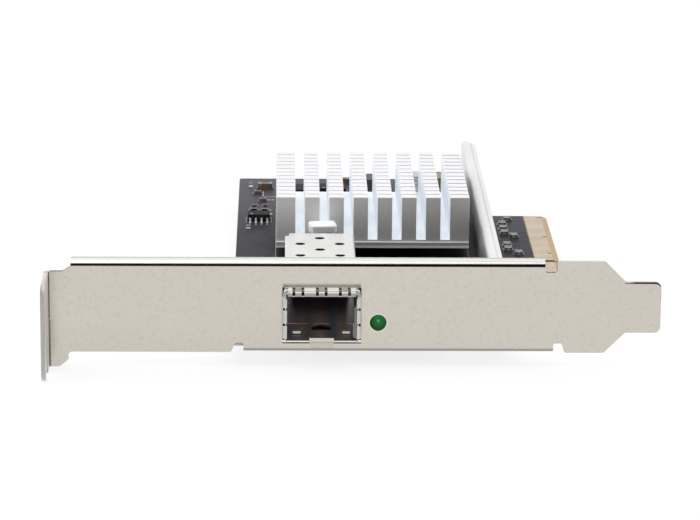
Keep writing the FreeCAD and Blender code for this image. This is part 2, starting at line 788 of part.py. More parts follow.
resistor_places = [
    (-65.4, 43.6, "x"), (-62.9, 43.4, "x"), (-66.5, 28.0, "y"), (-30.0, -30.0, "y"), (-27.0, -30.0, "y"),
    (-24.0, -30.0, "y"), (-35.5, -53.0, "x"), (-26.0, 58.0, "y"), (-36.0, -20.0, "x"), (-36.0, -17.5, "x"),
]


def make_small_parts():
    coupling = []
    ceramics = []
    resistors = []
    terminals = []
    for x, y in coupling_places:
        body, ends = chip_part(x, y, "x", 1.6, 0.8, 0.75, 0.4)
        coupling.append(body)
        terminals += ends
    for x, y, along, length, width, height in ceramic_places:
        body, ends = chip_part(x, y, along, length, width, height, length * 0.24)
        ceramics.append(body)
        terminals += ends
    for x, y, along in resistor_places:
        body, ends = chip_part(x, y, along, 1.6, 0.8, 0.5, 0.35)
        resistors.append(body)
        terminals += ends
    return coupling, ceramics, resistors, terminals


def make_back_capacitors():
    parts = []
    for i in range(4):
        for j in range(4):
            x = chip_x + (i - 1.5) * 4.2
            y = chip_y + (j - 1.5) * 4.2
            parts.append(centred(x, y, board_bottom - 0.55, 1.0, 0.5, 0.55))
    return parts


inductor_places = ((-37.6, 62.0), (-30.0, -24.0))


def make_inductor(x, y):
    size = 6.6
    height = 3.4
    foot = centred(x, y, board_top, size, size, 0.5)
    drum = centred(x, y, board_top + 0.5, size - 0.5, size - 0.5, height - 0.5)
    upright = [edge for edge in drum.Edges if abs(edge.tangentAt(0).z) > 0.9]
    drum = drum.makeChamfer(1.1, upright)
    return fuse([foot, drum])


def make_regulator():
    return centred(-47.4, 61.4, board_top, 6.0, 5.0, 1.3)


def make_power_stage():
    return centred(-55.2, 61.2, board_top, 5.0, 6.0, 1.1)


def make_tantalum_body(x, y):
    low = board_top + 0.15
    lower = centred(x, y, low, 4.3, 6.6, 1.2)
    upper = Part.makeLoft([
        rounded_wire(rectangle((x - 2.15, x + 2.15), (y - 3.3, y + 3.3)),
                     lambda p: FreeCAD.Vector(p.x, p.y, low + 1.2)),
        rounded_wire(rectangle((x - 1.95, x + 1.95), (y - 3.1, y + 3.1)),
                     lambda p: FreeCAD.Vector(p.x, p.y, low + 2.5)),
    ], True)
    return fuse([lower, upper])


def make_tantalum_tabs(x, y):
    tabs = []
    for side in (-1, 1):
        foot = centred(x, y + side * 2.75, board_top, 2.4, 1.3, 0.15)
        upright = centred(x, y + side * 3.35, board_top, 2.4, 0.1, 1.2)
        tabs.append(fuse([foot, upright]))
    return tabs


def make_crystal():
    x = -25.5
    y = -9.5
    base = centred(x, y, board_top, 5.0, 3.2, 0.4)
    outline = rectangle((x - 2.2, x + 2.2), (y - 1.35, y + 1.35), 0.5)
    can = prism("z", outline, board_top + 0.4, board_top + 1.0)
    return base, can


tantalum_places = ((-28.0, 62.4), (-22.0, 67.0))

save("bracket", make_bracket())
save("bracket_screws", *make_bracket_screws())
save("circuit_board", make_board())
save("contacts_component_side", *make_contacts(1))
save("contacts_solder_side", *make_contacts(-1))
save("bracket_ground_pads", *make_ground_pads())
save("cage_shell", make_cage_shell())
save("cage_floor", make_cage_floor())
save("emi_spring_collar", make_emi_collar())
save("port_connector_housing", make_port_connector())
save("port_connector_contacts", *make_port_contacts())
save("status_light_housing", make_led_housing())
save("status_light_lens", make_led_lens())
save("status_light_leads", *make_led_leads())
save("heatsink", make_heatsink())
save("heatsink_push_pins", *make_push_pins())
save("push_pin_springs", *make_pin_springs())
save("thermal_pad", make_thermal_pad())
save("controller_body", make_chip_body())
save("controller_substrate", make_chip_substrate())
save("controller_solder_balls", *make_chip_balls())
save("stiffener_rail", make_rail())
save("rail_screws", *make_rail_screws())
save("flash_chip_body", make_flash_body())
save("flash_chip_legs", *make_flash_legs())
coupling_bodies, ceramic_bodies, resistor_bodies, small_terminals = make_small_parts()
save("lane_capacitors", *coupling_bodies)
save("ceramic_capacitors", *ceramic_bodies)
save("chip_resistors", *resistor_bodies)
tantalum_tabs = [tab for place in tantalum_places for tab in make_tantalum_tabs(*place)]
save("component_terminals", *small_terminals, *tantalum_tabs)
save("solder_side_capacitors", *make_back_capacitors())
save("power_inductors", *[make_inductor(*place) for place in inductor_places])
save("voltage_regulator", make_regulator())
save("power_stage", make_power_stage())
save("tantalum_capacitors", *[make_tantalum_body(*place) for place in tantalum_places])
crystal_base, crystal_can = make_crystal()
save("crystal_base", crystal_base)
save("crystal_can", crystal_can)
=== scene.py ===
import bmesh
import bpy
import json
import math
from mathutils import Matrix, Vector


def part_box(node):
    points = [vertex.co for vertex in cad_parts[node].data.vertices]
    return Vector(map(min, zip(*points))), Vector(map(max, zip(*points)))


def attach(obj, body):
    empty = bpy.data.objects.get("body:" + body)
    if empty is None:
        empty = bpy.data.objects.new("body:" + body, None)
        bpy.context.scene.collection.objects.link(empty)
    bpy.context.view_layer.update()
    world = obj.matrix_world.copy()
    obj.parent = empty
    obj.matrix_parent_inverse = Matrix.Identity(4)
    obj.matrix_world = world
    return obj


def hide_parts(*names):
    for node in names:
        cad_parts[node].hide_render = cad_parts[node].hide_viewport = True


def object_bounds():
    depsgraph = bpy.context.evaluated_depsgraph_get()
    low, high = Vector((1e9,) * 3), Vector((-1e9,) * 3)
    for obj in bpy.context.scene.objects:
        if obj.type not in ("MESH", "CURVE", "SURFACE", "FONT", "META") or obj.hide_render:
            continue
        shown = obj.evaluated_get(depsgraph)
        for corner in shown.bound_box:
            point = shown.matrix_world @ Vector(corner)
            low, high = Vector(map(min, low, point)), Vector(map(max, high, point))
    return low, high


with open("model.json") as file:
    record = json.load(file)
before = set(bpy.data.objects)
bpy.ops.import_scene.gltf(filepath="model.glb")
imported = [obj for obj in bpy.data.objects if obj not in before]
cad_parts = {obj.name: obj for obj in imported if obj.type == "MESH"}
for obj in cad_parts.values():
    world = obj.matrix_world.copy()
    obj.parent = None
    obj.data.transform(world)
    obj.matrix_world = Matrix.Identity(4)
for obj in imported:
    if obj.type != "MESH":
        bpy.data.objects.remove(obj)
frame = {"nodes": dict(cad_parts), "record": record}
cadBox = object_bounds()
nodes = frame["nodes"]
mm = 0.001
slack = 0.1 * mm    # how far a test reaches past the face that it looks for

boardLow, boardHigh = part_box("circuit_board")
boardTop = boardHigh.z
boardBottom = boardLow.z
bracketLow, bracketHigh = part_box("bracket")
cageLow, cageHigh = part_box("cage_shell")
sinkLow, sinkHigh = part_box("heatsink")
contactLow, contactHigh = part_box("contacts_component_side")
lensLow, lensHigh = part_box("status_light_lens")
pinLow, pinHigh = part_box("heatsink_push_pins")
pinWide = 5.8 * mm
screwSetBack = 5.45 * mm
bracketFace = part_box("bracket_screws")[0].y - screwSetBack    # outer face of the bracket's plate
print("frame loaded:", len(nodes), "nodes")


# shader maths: a socket that works in plain arithmetic
class Signal:
    def __init__(self, look, socket):
        self.look = look
        self.socket = socket

    def __add__(self, other):
        return self.look.calc("ADD", self, other)

    def __radd__(self, other):
        return self.look.calc("ADD", other, self)

    def __sub__(self, other):
        return self.look.calc("SUBTRACT", self, other)

    def __rsub__(self, other):
        return self.look.calc("SUBTRACT", other, self)

    def __mul__(self, other):
        return self.look.calc("MULTIPLY", self, other)

    def __rmul__(self, other):
        return self.look.calc("MULTIPLY", other, self)

    def __gt__(self, other):
        return self.look.calc("GREATER_THAN", self, other)

    def __lt__(self, other):
        return self.look.calc("LESS_THAN", self, other)


class Look:
    def __init__(self, name, tree=None):
        if tree is None:
            self.material = bpy.data.materials.new(name)
            self.material.use_nodes = True
            tree = self.material.node_tree
        self.tree = tree
        self.tree.nodes.clear()

    # any node: its type, its settings, then the values or links of its sockets
    def node(self, kind, settings=None, sockets=None, out=0):
        made = self.tree.nodes.new(kind)
        for key, value in (settings or {}).items():
            setattr(made, key, value)
        for key, value in (sockets or {}).items():
            self.plug(made.inputs[key], value)
        return Signal(self, made.outputs[out])

    def plug(self, socket, value):
        if isinstance(value, Signal):
            self.tree.links.new(value.socket, socket)
        elif isinstance(value, tuple) and len(value) == 3 and socket.type == "RGBA":
            socket.default_value = (*value, 1.0)
        else:
            socket.default_value = value

    def calc(self, operation, first, second=0.0):
        return self.node("ShaderNodeMath", {"operation": operation}, {0: first, 1: second})

    def place(self):
        return self.node("ShaderNodeTexCoord", out=3)

    def mapped(self, stretch=(1, 1, 1), shift=(0, 0, 0), turn=(0, 0, 0)):
        return self.node("ShaderNodeMapping", None,
                         {"Vector": self.place(), "Location": shift, "Rotation": turn, "Scale": stretch})

    def axis(self, index):
        return self.node("ShaderNodeSeparateXYZ", None, {0: self.place()}, out=index)

    def facing(self, index):
        normal = self.node("ShaderNodeNewGeometry", out=1)
        return self.node("ShaderNodeSeparateXYZ", None, {0: normal}, out=index)

    def noise(self, scale, detail, stretch=(1, 1, 1), shift=(0, 0, 0)):
        return self.node("ShaderNodeTexNoise", None,
                         {"Vector": self.mapped(stretch, shift), "Scale": scale, "Detail": detail})

    # 0 below low, 1 above high, smooth between
    def rise(self, value, low, high):
        return self.node("ShaderNodeMapRange", {"interpolation_type": "SMOOTHSTEP"},
                         {"Value": value, "From Min": low, "From Max": high})

    # remaps a 0 to 1 signal onto a range
    def span(self, value, low, high):
        return self.node("ShaderNodeMapRange", {"clamp": True},
                         {"Value": value, "To Min": low, "To Max": high})

    def mix(self, factor, first, second):
        return self.node("ShaderNodeMix", {"data_type": "RGBA"}, {0: factor, 6: first, 7: second}, out=2)

    def bump(self, height, strength, depth):
        return self.node("ShaderNodeBump", None,
                         {"Height": height, "Strength": strength, "Distance": depth})

    def surface(self, **sockets):
        shader = self.tree.nodes.new("ShaderNodeBsdfPrincipled")
        for key, value in sockets.items():
            self.plug(shader.inputs[shaderSockets[key]], value)
        output = self.tree.nodes.new("ShaderNodeOutputMaterial")
        self.tree.links.new(shader.outputs[0], output.inputs[0])
        return self.material


shaderSockets = {"colour": "Base Color", "metallic": "Metallic", "roughness": "Roughness",
                 "normal": "Normal", "specular": "Specular IOR Level", "subsurface": "Subsurface Weight",
                 "subsurfaceScale": "Subsurface Scale", "emission": "Emission Color",
                 "emissionStrength": "Emission Strength"}
grainDepth = 0.05 * mm
black = (0.0, 0.0, 0.0)


bracketSteel = {"base": (0.620, 0.580, 0.515), "rosy": (0.635, 0.575, 0.525), "rosyAt": (0.42, 0.68),
                "green": (0.600, 0.590, 0.525), "greenAt": (0.45, 0.70), "pale": (0.66, 0.63, 0.575),
                "paleAt": (0.58, 0.80), "speck": (0.56, 0.525, 0.465), "speckAt": (0.50, 0.72),
                "cloud": 45, "specks": 1500, "rolling": 900, "pits": 5200, "pitDepth": 0.06 * mm,
                "rough": (0.20, 0.28), "tab": (0.80, 0.78, 0.745), "tabRough": 0.5,
                "tabAhead": (1.6 * mm, 0.6 * mm), "flange": (0.66, 0.655, 0.64), "flangeDeep": 2.2 * mm,
                "flangeFront": (0.78, 0.77, 0.75), "frontDeep": (1.5 * mm, 2.0 * mm), "bendDeep": 1.4 * mm,
                "bendEnd": 5 * mm, "bendPaintedShade": (0.085, 0.078, 0.072), "bendPaintedHighlight": (0.56, 0.545, 0.515),
                "under": (0.25, 0.24, 0.22), "edge": (0.10, 0.09, 0.08), "edgeFrom": 4.4 * mm,
                "shade": (0.035, 0.032, 0.03), "tongue": (8.6 * mm, 11.5 * mm), "sillHalf": 7.8 * mm,
                "overPort": (0.17, 0.155, 0.14), "portHalf": 7.6 * mm, "portShade": (1.3 * mm, 1.9 * mm),
                "halo": (0.60, 0.86, 0.56), "haloWide": (0.1 * mm, 0.5 * mm), "relief": 0.08}


# satin nickel: faint rosy and greenish clouds, pale smudges, fine specks and rolling lines; the tab seen
# edge on and the flange's top are painted lighter, the flange's bend has a painted dark line and a painted
# highlight on its crest, faces turned down, the rolled edges, the port's sill and the plate over the port
# get painted shade, and the rim of the status light's hole gets painted green light
def bracketLook():
    look = Look("nickelPlatedSteel")
    steel = bracketSteel
    rosy = look.rise(look.noise(steel["cloud"], 2, (1, 1, 1.6)), *steel["rosyAt"])
    green = look.rise(look.noise(steel["cloud"], 2, (1, 1, 1.4), (0.6, 0.2, 0.3)), *steel["greenAt"])
    smudge = look.rise(look.noise(steel["cloud"] * 4, 4, (1, 1, 2), (0.3, 0.1, 0.7)), *steel["paleAt"])
    colour = look.mix(rosy * 0.6, steel["base"], steel["rosy"])
    colour = look.mix(green * 0.5, colour, steel["green"])
    colour = look.mix(smudge * 0.35, colour, steel["pale"])
    speck = look.rise(look.noise(steel["specks"], 3), *steel["speckAt"])
    colour = look.mix(speck * 0.6, colour, steel["speck"])
    x, y, z = (look.axis(index) for index in range(3))
    # painted light: the tab, seen edge on, is painted a lighter colour
    tab = 1 - look.rise(y, *(bracketFace - reach for reach in steel["tabAhead"]))
    # painted light: the flange's upward top is painted lighter, most of all towards its front
    flange = look.rise(look.facing(2), 0.75, 0.9) * (z > bracketHigh.z - steel["flangeDeep"])
    ahead = 1 - look.rise(y, *(bracketFace + reach for reach in steel["frontDeep"]))
    sheet = look.mix(ahead, steel["flange"], steel["flangeFront"])
    colour = look.mix(flange * 0.9, look.mix(tab, colour, steel["tab"]), sheet)
    # painted shade: a dark line along the outer face of the flange's bend, and a painted highlight on its
    # crest
    outer = (look.facing(1) < -0.05) * (y > bracketFace - slack)
    outer = outer * (z > bracketHigh.z - steel["bendDeep"]) * (x < contactHigh.x - steel["bendEnd"])
    line = look.rise(look.facing(2), 0.05, 0.15) * (1 - look.rise(look.facing(2), 0.42, 0.6))
    colour = look.mix(outer * line * 0.85, colour, steel["bendPaintedShade"])
    crest = look.rise(look.facing(2), 0.55, 0.65) * (1 - flange)
    colour = look.mix(outer * crest, colour, steel["bendPaintedHighlight"])
    # painted shade on faces turned down at the front
    below = look.rise(0 - look.facing(2), 0.2, 0.55) * (look.facing(1) < -0.2)
    colour = look.mix(below * 0.8, colour, steel["under"])
    # painted shade on the rolled edges along the top, darkest on the tongue
    rolled = look.rise(look.facing(2), 0.06, 0.4) * (look.facing(1) < -0.12)
    rolled = rolled * (x > contactHigh.x - steel["edgeFrom"])
    onTongue = look.rise(x, *(contactHigh.x + reach for reach in steel["tongue"]))
    colour = look.mix(rolled * (z > bracketHigh.z - mm) * 0.9, colour, steel["edge"])
    colour = look.mix(rolled * onTongue, colour, steel["shade"])
    # painted shade on the port's sill
    across = look.calc("ABSOLUTE", x - (cageLow.x + cageHigh.x) / 2)
    sill = (across < steel["sillHalf"]) * (y > bracketFace + slack) * (z < boardTop) * (z > boardBottom)
    colour = look.mix(sill * 0.35, colour, steel["shade"])
    # painted shade on the plate just over the port
    overPort = 1 - look.rise(z, *(cageHigh.z + reach for reach in steel["portShade"]))
    overPort = overPort * (across < steel["portHalf"]) * (z > cageHigh.z)
    colour = look.mix(overPort * 0.7, colour, steel["overPort"])
    # painted green light on the rim of the status light's hole
    lensMiddle = (lensLow + lensHigh) / 2
    dx = x - lensMiddle.x
    dz = z - lensMiddle.z
    rim = (lensHigh.x - lensLow.x) / 2
    away = look.calc("SQRT", dx * dx + dz * dz)
    halo = 1 - look.rise(away, *(rim + reach for reach in steel["haloWide"]))
    colour = look.mix(halo, colour, steel["halo"])
    grain = look.noise(steel["rolling"], 4, (0.2, 1, 14))
    pits = look.noise(steel["pits"], 2)
    rough = look.span(rosy * 0.4 + grain * 0.6, *steel["rough"]) * (1 - tab) + tab * steel["tabRough"]
    normal = look.bump(grain * 0.6 + pits * 0.4, steel["relief"], steel["pitDepth"])
    return look.surface(colour=colour, metallic=1.0, roughness=rough, normal=normal)


def plainMetalLook(name, setup):
    look = Look(name)
    cloud = look.noise(setup["cloud"], 3, setup.get("stretch", (1, 1, 1)))
    grain = look.noise(setup["grain"], 3, setup.get("grainStretch", (1, 1, 1)))
    colour = look.mix(look.rise(cloud, 0.35, 0.65), setup["dark"], setup["light"])
    rough = look.span(cloud * 0.5 + grain * 0.5, *setup["rough"])
    normal = look.bump(grain, setup["relief"], grainDepth)
    return look.surface(colour=colour, metallic=1.0, roughness=rough, normal=normal)


springSteel = {"dark": (0.56, 0.545, 0.515), "light": (0.66, 0.645, 0.615), "cloud": 300, "grain": 2500,
               "rough": (0.24, 0.36), "relief": 0.05}
screwSteel = {"dark": (0.55, 0.55, 0.54), "light": (0.70, 0.70, 0.68), "cloud": 300, "grain": 2500,
              "rough": (0.22, 0.38), "relief": 0.1}
tinPlate = {"dark": (0.25, 0.25, 0.255), "light": (0.36, 0.36, 0.365), "cloud": 500, "grain": 3500,
            "rough": (0.32, 0.52), "relief": 0.25}
brightTin = {"dark": (0.84, 0.84, 0.83), "light": (0.93, 0.93, 0.92), "cloud": 500, "grain": 3500,
             "rough": (0.45, 0.6), "relief": 0.1}
goldPlate = {"dark": (0.66, 0.55, 0.415), "light": (0.72, 0.615, 0.48), "cloud": 120, "grain": 3000,
             "grainStretch": (0.3, 5, 1), "rough": (0.30, 0.42), "relief": 0.06}
railMetal = {"dark": (0.72, 0.725, 0.73), "light": (0.80, 0.805, 0.805), "cloud": 90,
             "stretch": (1, 0.15, 1), "grain": 1700, "grainStretch": (8, 0.12, 8), "rough": (0.34, 0.46),
             "relief": 0.22}

collarSteel = {"leg": (0.15, 0.142, 0.13), "legFrom": 5 * mm, "bow": (0.60, 0.585, 0.555),
               "bowOver": 0.3 * mm, "narrow": (0.20, 0.195, 0.18), "nose": (0.38, 0.37, 0.345),
               "noseBack": (0.15 * mm, 0.45 * mm), "topDeep": 0.6 * mm, "slitShade": (0.03, 0.028, 0.027),
               "slits": (-5.45 * mm, -3.70 * mm, -0.90 * mm, 0.80 * mm, 3.55 * mm, 5.33 * mm),
               "slitHalf": 0.27 * mm, "slitDeep": 0.3 * mm, "narrowHalf": 0.72 * mm,
               "narrows": (-4.58 * mm, -0.05 * mm, 4.44 * mm)}


# as the spring sheet, with painted light and shade: the bows over the mouth and the legs inside it glow
# with painted light, the narrow fingers less, the noses get painted shade and the slits between fingers
# are painted dark
def collarLook():
    look = Look("collarSteel")
    cloud = look.noise(springSteel["cloud"], 3)
    grain = look.noise(springSteel["grain"], 3)
    x, y, z = (look.axis(index) for index in range(3))
    middle = (cageLow.x + cageHigh.x) / 2
    start, end = (cageLow.y + reach for reach in collarSteel["noseBack"])
    # painted shade on the noses of the top fingers
    nose = 1 - look.rise(y, start, end)
    colour = look.mix(cloud, springSteel["dark"], springSteel["light"])
    colour = look.mix(nose * (z > cageHigh.z - collarSteel["topDeep"]), colour, collarSteel["nose"])

    def stripes(places, half):
        return sum(look.calc("ABSOLUTE", x - (middle + place)) < half for place in places)

    narrow = stripes(collarSteel["narrows"], collarSteel["narrowHalf"])
    # painted shade in the slits between the top fingers
    slit = stripes(collarSteel["slits"], collarSteel["slitHalf"])
    slit = slit * (z > cageHigh.z - collarSteel["slitDeep"])
    colour = look.mix(slit, colour, collarSteel["slitShade"])
    # painted light: the legs inside the mouth and the bows over it glow, the narrow fingers less and the
    # slits not at all
    inside = (y > start) * (x > middle + collarSteel["legFrom"]) * (x < cageHigh.x - 2 * slack)
    inside = inside * (z < cageHigh.z - collarSteel["topDeep"])
    glow = look.mix(inside, black, collarSteel["leg"])
    bow = look.mix(narrow, collarSteel["bow"], collarSteel["narrow"])
    glow = look.mix((z > cageHigh.z + collarSteel["bowOver"]) * (1 - nose), glow, bow)
    glow = look.mix(slit, glow, black)
    return look.surface(colour=colour, metallic=1.0, roughness=look.span(grain, *springSteel["rough"]),
                        normal=look.bump(grain, springSteel["relief"], grainDepth), emission=glow,
                        emissionStrength=1.0)


cageSteel = {"outside": (0.72, 0.725, 0.70), "worn": (0.66, 0.66, 0.63), "wornAt": (0.42, 0.72),
             "inside": (0.24, 0.205, 0.18), "streak": (0.10, 0.088, 0.084), "streakAt": (0.38, 0.62),
             "rough": (0.22, 0.34), "insideRough": 0.26, "relief": 0.08, "grain": 1500,
             "sideWall": 0.15 * mm, "topWall": 0.16 * mm, "floorWall": 0.1 * mm,
             "dimming": (1.2 * mm, 14 * mm), "lip": (0.56, 0.52, 0.465), "lipGlow": (0.54, 0.49, 0.44),
             "lipDeep": 2.4 * mm, "lipHalf": 2.4 * mm, "lipHigh": (0.2 * mm, 0.4 * mm),
             "underCollarPaintedShade": (0.03, 0.028, 0.026), "hiddenDeep": 4.35 * mm, "hiddenHigh": 0.3 * mm,
             "warm": (0.024, 0.017, 0.014), "cold": (0.010, 0.012, 0.019), "bandAt": (0.40, 0.60),
             "lightFrom": 1.4 * mm, "lightEnds": (13 * mm, 27 * mm), "line": (0.22, 0.07, 0.045),
             "lineAt": 12.6 * mm, "lineWide": 0.25 * mm, "lineHigh": mm, "dashAt": (0.42, 0.55),
             "spring": (0.40, 0.38, 0.35), "springAt": (4.85 * mm, 0.8 * mm),
             "springEnds": (4.7 * mm, 6.8 * mm), "springHigh": (0.42 * mm, 1.2 * mm)}


# bright outside with worn smears; the inner walls get painted shade deeper in and painted reflections as
# long streaks, and glow with painted light in faint warm and cold bands and a ruddy line, while the
# floor's front lip and two low springs behind it get painted light and the top under the collar's noses
# gets painted shade
def cageLook():
    look = Look("cageSteel")
    steel = cageSteel
    middle = (cageLow + cageHigh) / 2
    x, y, z = (look.axis(index) for index in range(3))
    across = look.calc("ABSOLUTE", x - middle.x)
    inner = (across < (cageHigh.x - middle.x) - steel["sideWall"]) * (z < cageHigh.z - steel["topWall"])
    inner = inner * (z > boardTop + steel["floorWall"])
    # painted shade: the inner walls darken deeper into the cage
    depth = look.rise(y, *(cageLow.y + reach for reach in steel["dimming"]))
    smear = look.rise(look.noise(140, 2, (1, 1, 0.6)), *steel["wornAt"])
    outside = look.mix(smear * 0.5, steel["outside"], steel["worn"])
    # painted light on the floor's front lip, in its colour and its glow
    lipLow, lipHigh = (boardTop + height for height in steel["lipHigh"])
    lip = (y < cageLow.y + steel["lipDeep"]) * (z < lipHigh) * (across < steel["lipHalf"])
    # painted reflections: long dark streaks on the inner walls
    streaks = look.rise(look.noise(420, 3, (1, 0.03, 1)), *steel["streakAt"])
    dim = look.calc("MAXIMUM", depth * 0.75, streaks * 0.6)
    inside = look.mix(dim, steel["inside"], steel["streak"])
    colour = look.mix(lip, look.mix(inner, outside, inside), steel["lip"])
    # painted shade on the top of the cage under the collar's noses
    underCollarPaintedShade = (y < cageLow.y + steel["hiddenDeep"]) * (z > cageHigh.z - steel["hiddenHigh"])
    colour = look.mix(underCollarPaintedShade, colour, steel["underCollarPaintedShade"])
    grain = look.noise(steel["grain"], 3, (6, 0.5, 1))
    rough = look.span(grain, *steel["rough"]) * (1 - inner) + inner * steel["insideRough"] + lip * 0.3
    # painted light: the inner walls glow faintly in warm and cold bands, with a ruddy line and two lit
    # springs, less deeper in
    bands = look.rise(look.noise(300, 1, (1, 0.01, 0.01)), *steel["bandAt"])
    light = look.mix(bands, steel["warm"], steel["cold"])
    near = look.calc("ABSOLUTE", y - (cageLow.y + steel["lineAt"]))
    dashes = look.rise(look.noise(260, 1, (1, 0.01, 0.01), (0.37, 0, 0)), *steel["dashAt"])
    line = (near < steel["lineWide"]) * dashes * (z < boardTop + steel["lineHigh"])
    light = look.mix(line, light, steel["line"])
    springX, springHalf = steel["springAt"]
    front, back = (cageLow.y + reach for reach in steel["springEnds"])
    low, high = (boardTop + height for height in steel["springHigh"])
    spring = (look.calc("ABSOLUTE", across - springX) < springHalf) * (y > front) * (y < back)
    light = look.mix(spring * (z > low) * (z < high), light, steel["spring"])
    fading = look.rise(y, *(cageLow.y + reach for reach in steel["lightEnds"]))
    lit = inner * (1 - fading * 0.85) * (y > cageLow.y + steel["lightFrom"])
    glow = look.mix(lit, black, light)
    glow = look.mix(lip * (z > lipLow), glow, steel["lipGlow"])
    return look.surface(colour=colour, metallic=1.0, roughness=rough, emission=glow, emissionStrength=1.0,
                        normal=look.bump(grain, steel["relief"], grainDepth))


sinkMetal = {"dark": (0.78, 0.79, 0.81), "light": (0.90, 0.905, 0.92), "rough": (0.38, 0.55),
             "metal": 0.35, "grain": 1500, "sawn": 1300, "relief": 0.2, "sawDepth": 0.06 * mm,
             "top": (0.80, 0.80, 0.825), "topDeep": 0.2 * mm, "frontLow": (0.60, 0.595, 0.59),
             "frontHigh": (0.97, 0.96, 0.94), "farShade": 0.24, "base": (0.38, 0.365, 0.375),
             "baseEdge": (0.95, 0.93, 0.95), "baseHigh": 1.28 * mm, "baseRim": (0.40 * mm, 0.75 * mm),
             "channel": (0.15, 0.17, 0.185), "channelInset": 3 * mm, "channelFloor": 1.6 * mm,
             "channelDeep": 2 * mm, "pinGlow": (1.0, 1.0, 1.0), "glowReach": (1.2 * mm, 5.5 * mm),
             "glowStretch": 0.8}


# matt aluminium: painted light in the channels, sawn front faces with painted shade darkening downwards
# and towards +X, a painted highlight round the push pin, the pins' tops painted one even tone, and a base
# in painted shade with a painted highlight along its lower rim
def sinkLook():
    look = Look("cutAluminium")
    x = look.axis(0)
    z = look.axis(2)
    cloud = look.noise(120, 3)
    # lines of the extrusion, along Y, and saw lines on the cross cuts, along X
    drawn = look.noise(sinkMetal["grain"], 3, (9, 0.1, 9))
    sawn = look.noise(sinkMetal["sawn"], 3, (0.25, 1, 9), (0.2, 0, 0.4))
    front = look.rise(look.calc("ABSOLUTE", look.facing(1)), 0.4, 0.7)
    grain = drawn * (1 - front) + sawn * front
    colour = look.mix(look.rise(cloud, 0.3, 0.7), sinkMetal["dark"], sinkMetal["light"])
    # painted light: the pins' upward tops are painted one even tone
    up = look.rise(look.facing(2), 0.6, 0.8)
    colour = look.mix(up * (z > sinkHigh.z - sinkMetal["topDeep"]), colour, sinkMetal["top"])
    # painted shade on the front faces, darker downwards and towards +X, and a painted highlight round the
    # push pin
    height = look.rise(z, sinkLow.z + mm, sinkHigh.z)
    face = look.mix(height + (sawn - 0.5) * 0.5, sinkMetal["frontLow"], sinkMetal["frontHigh"])
    dx = (x - pinLow.x - pinWide / 2) * sinkMetal["glowStretch"]
    dz = z - pinHigh.z
    halo = 1 - look.rise(look.calc("SQRT", dx * dx + dz * dz), *sinkMetal["glowReach"])
    far = look.rise(x, (sinkLow.x + sinkHigh.x) / 2, sinkHigh.x)
    face = look.mix(far * sinkMetal["farShade"], face, black)
    face = look.mix(halo * 0.7, face, sinkMetal["pinGlow"])
    colour = look.mix(front * (look.facing(1) < 0), colour, face)
    # painted shade on the base's front, with a painted highlight along its lower rim
    rim = 1 - look.rise(z, *(sinkLow.z + reach for reach in sinkMetal["baseRim"]))
    edge = rim * 0.9 + look.noise(900, 3, (1, 1, 2)) * 0.3
    shade = look.mix(edge, sinkMetal["base"], sinkMetal["baseEdge"])
    colour = look.mix(front * (z < sinkLow.z + sinkMetal["baseHigh"]), colour, shade)
    # painted light in the channels between the pins
    inset = sinkMetal["channelInset"]
    inside = (x > sinkLow.x + inset) * (x < sinkHigh.x - inset)
    inside = inside * (z > sinkLow.z + sinkMetal["channelFloor"])
    wall = look.rise(look.calc("ABSOLUTE", look.facing(0)), 0.5, 0.8)
    wall = look.calc("MAXIMUM", wall, up * (z < sinkHigh.z - sinkMetal["channelDeep"]))
    glow = look.mix(inside * wall, black, sinkMetal["channel"])
    rough = look.span(grain, *sinkMetal["rough"])
    return look.surface(colour=colour, metallic=sinkMetal["metal"] * (1 - front * 0.7), roughness=rough,
                        normal=look.bump(grain, sinkMetal["relief"], sinkMetal["sawDepth"]), emission=glow,
                        emissionStrength=1.0)


boardMask = {"mask": (0.009, 0.009, 0.012), "over": (0.027, 0.027, 0.035), "core": (0.93, 0.885, 0.79),
             "weave": (0.84, 0.78, 0.66), "bevel": (0.46, 0.355, 0.225), "cut": (0.24, 0.105, 0.035),
             "far": (0.075, 0.076, 0.090), "farAt": (-5 * mm, 80 * mm), "under": (0.27, 0.215, 0.14),
             "pours": 95, "pourAt": (0.50, 0.515), "cells": 420, "cellTurn": (0, 0, 0.785),
             "cellAt": (0.04, 0.08), "runPitch": 1.75, "runShift": 0.9, "runAt": (0.95, 1.15),
             "laneCount": 1400, "laneFold": 0.5,
             "laneAt": (0.26, 0.36), "lanes": 60, "lanesAt": (0.52, 0.53), "vias": 340,
             "viaAt": (0.07, 0.10), "fingers": -14.1 * mm, "fade": 0.5 * mm, "bevelStart": -1.3 * mm,
             "bevelFade": 0.02 * mm, "darkTopBand": (0.42 * mm, 0.30 * mm), "portHalf": 9 * mm,
             "portDeep": 8 * mm, "specular": 0.045, "rough": (0.42, 0.8), "relief": 0.3,
             "reliefDepth": 0.04 * mm}
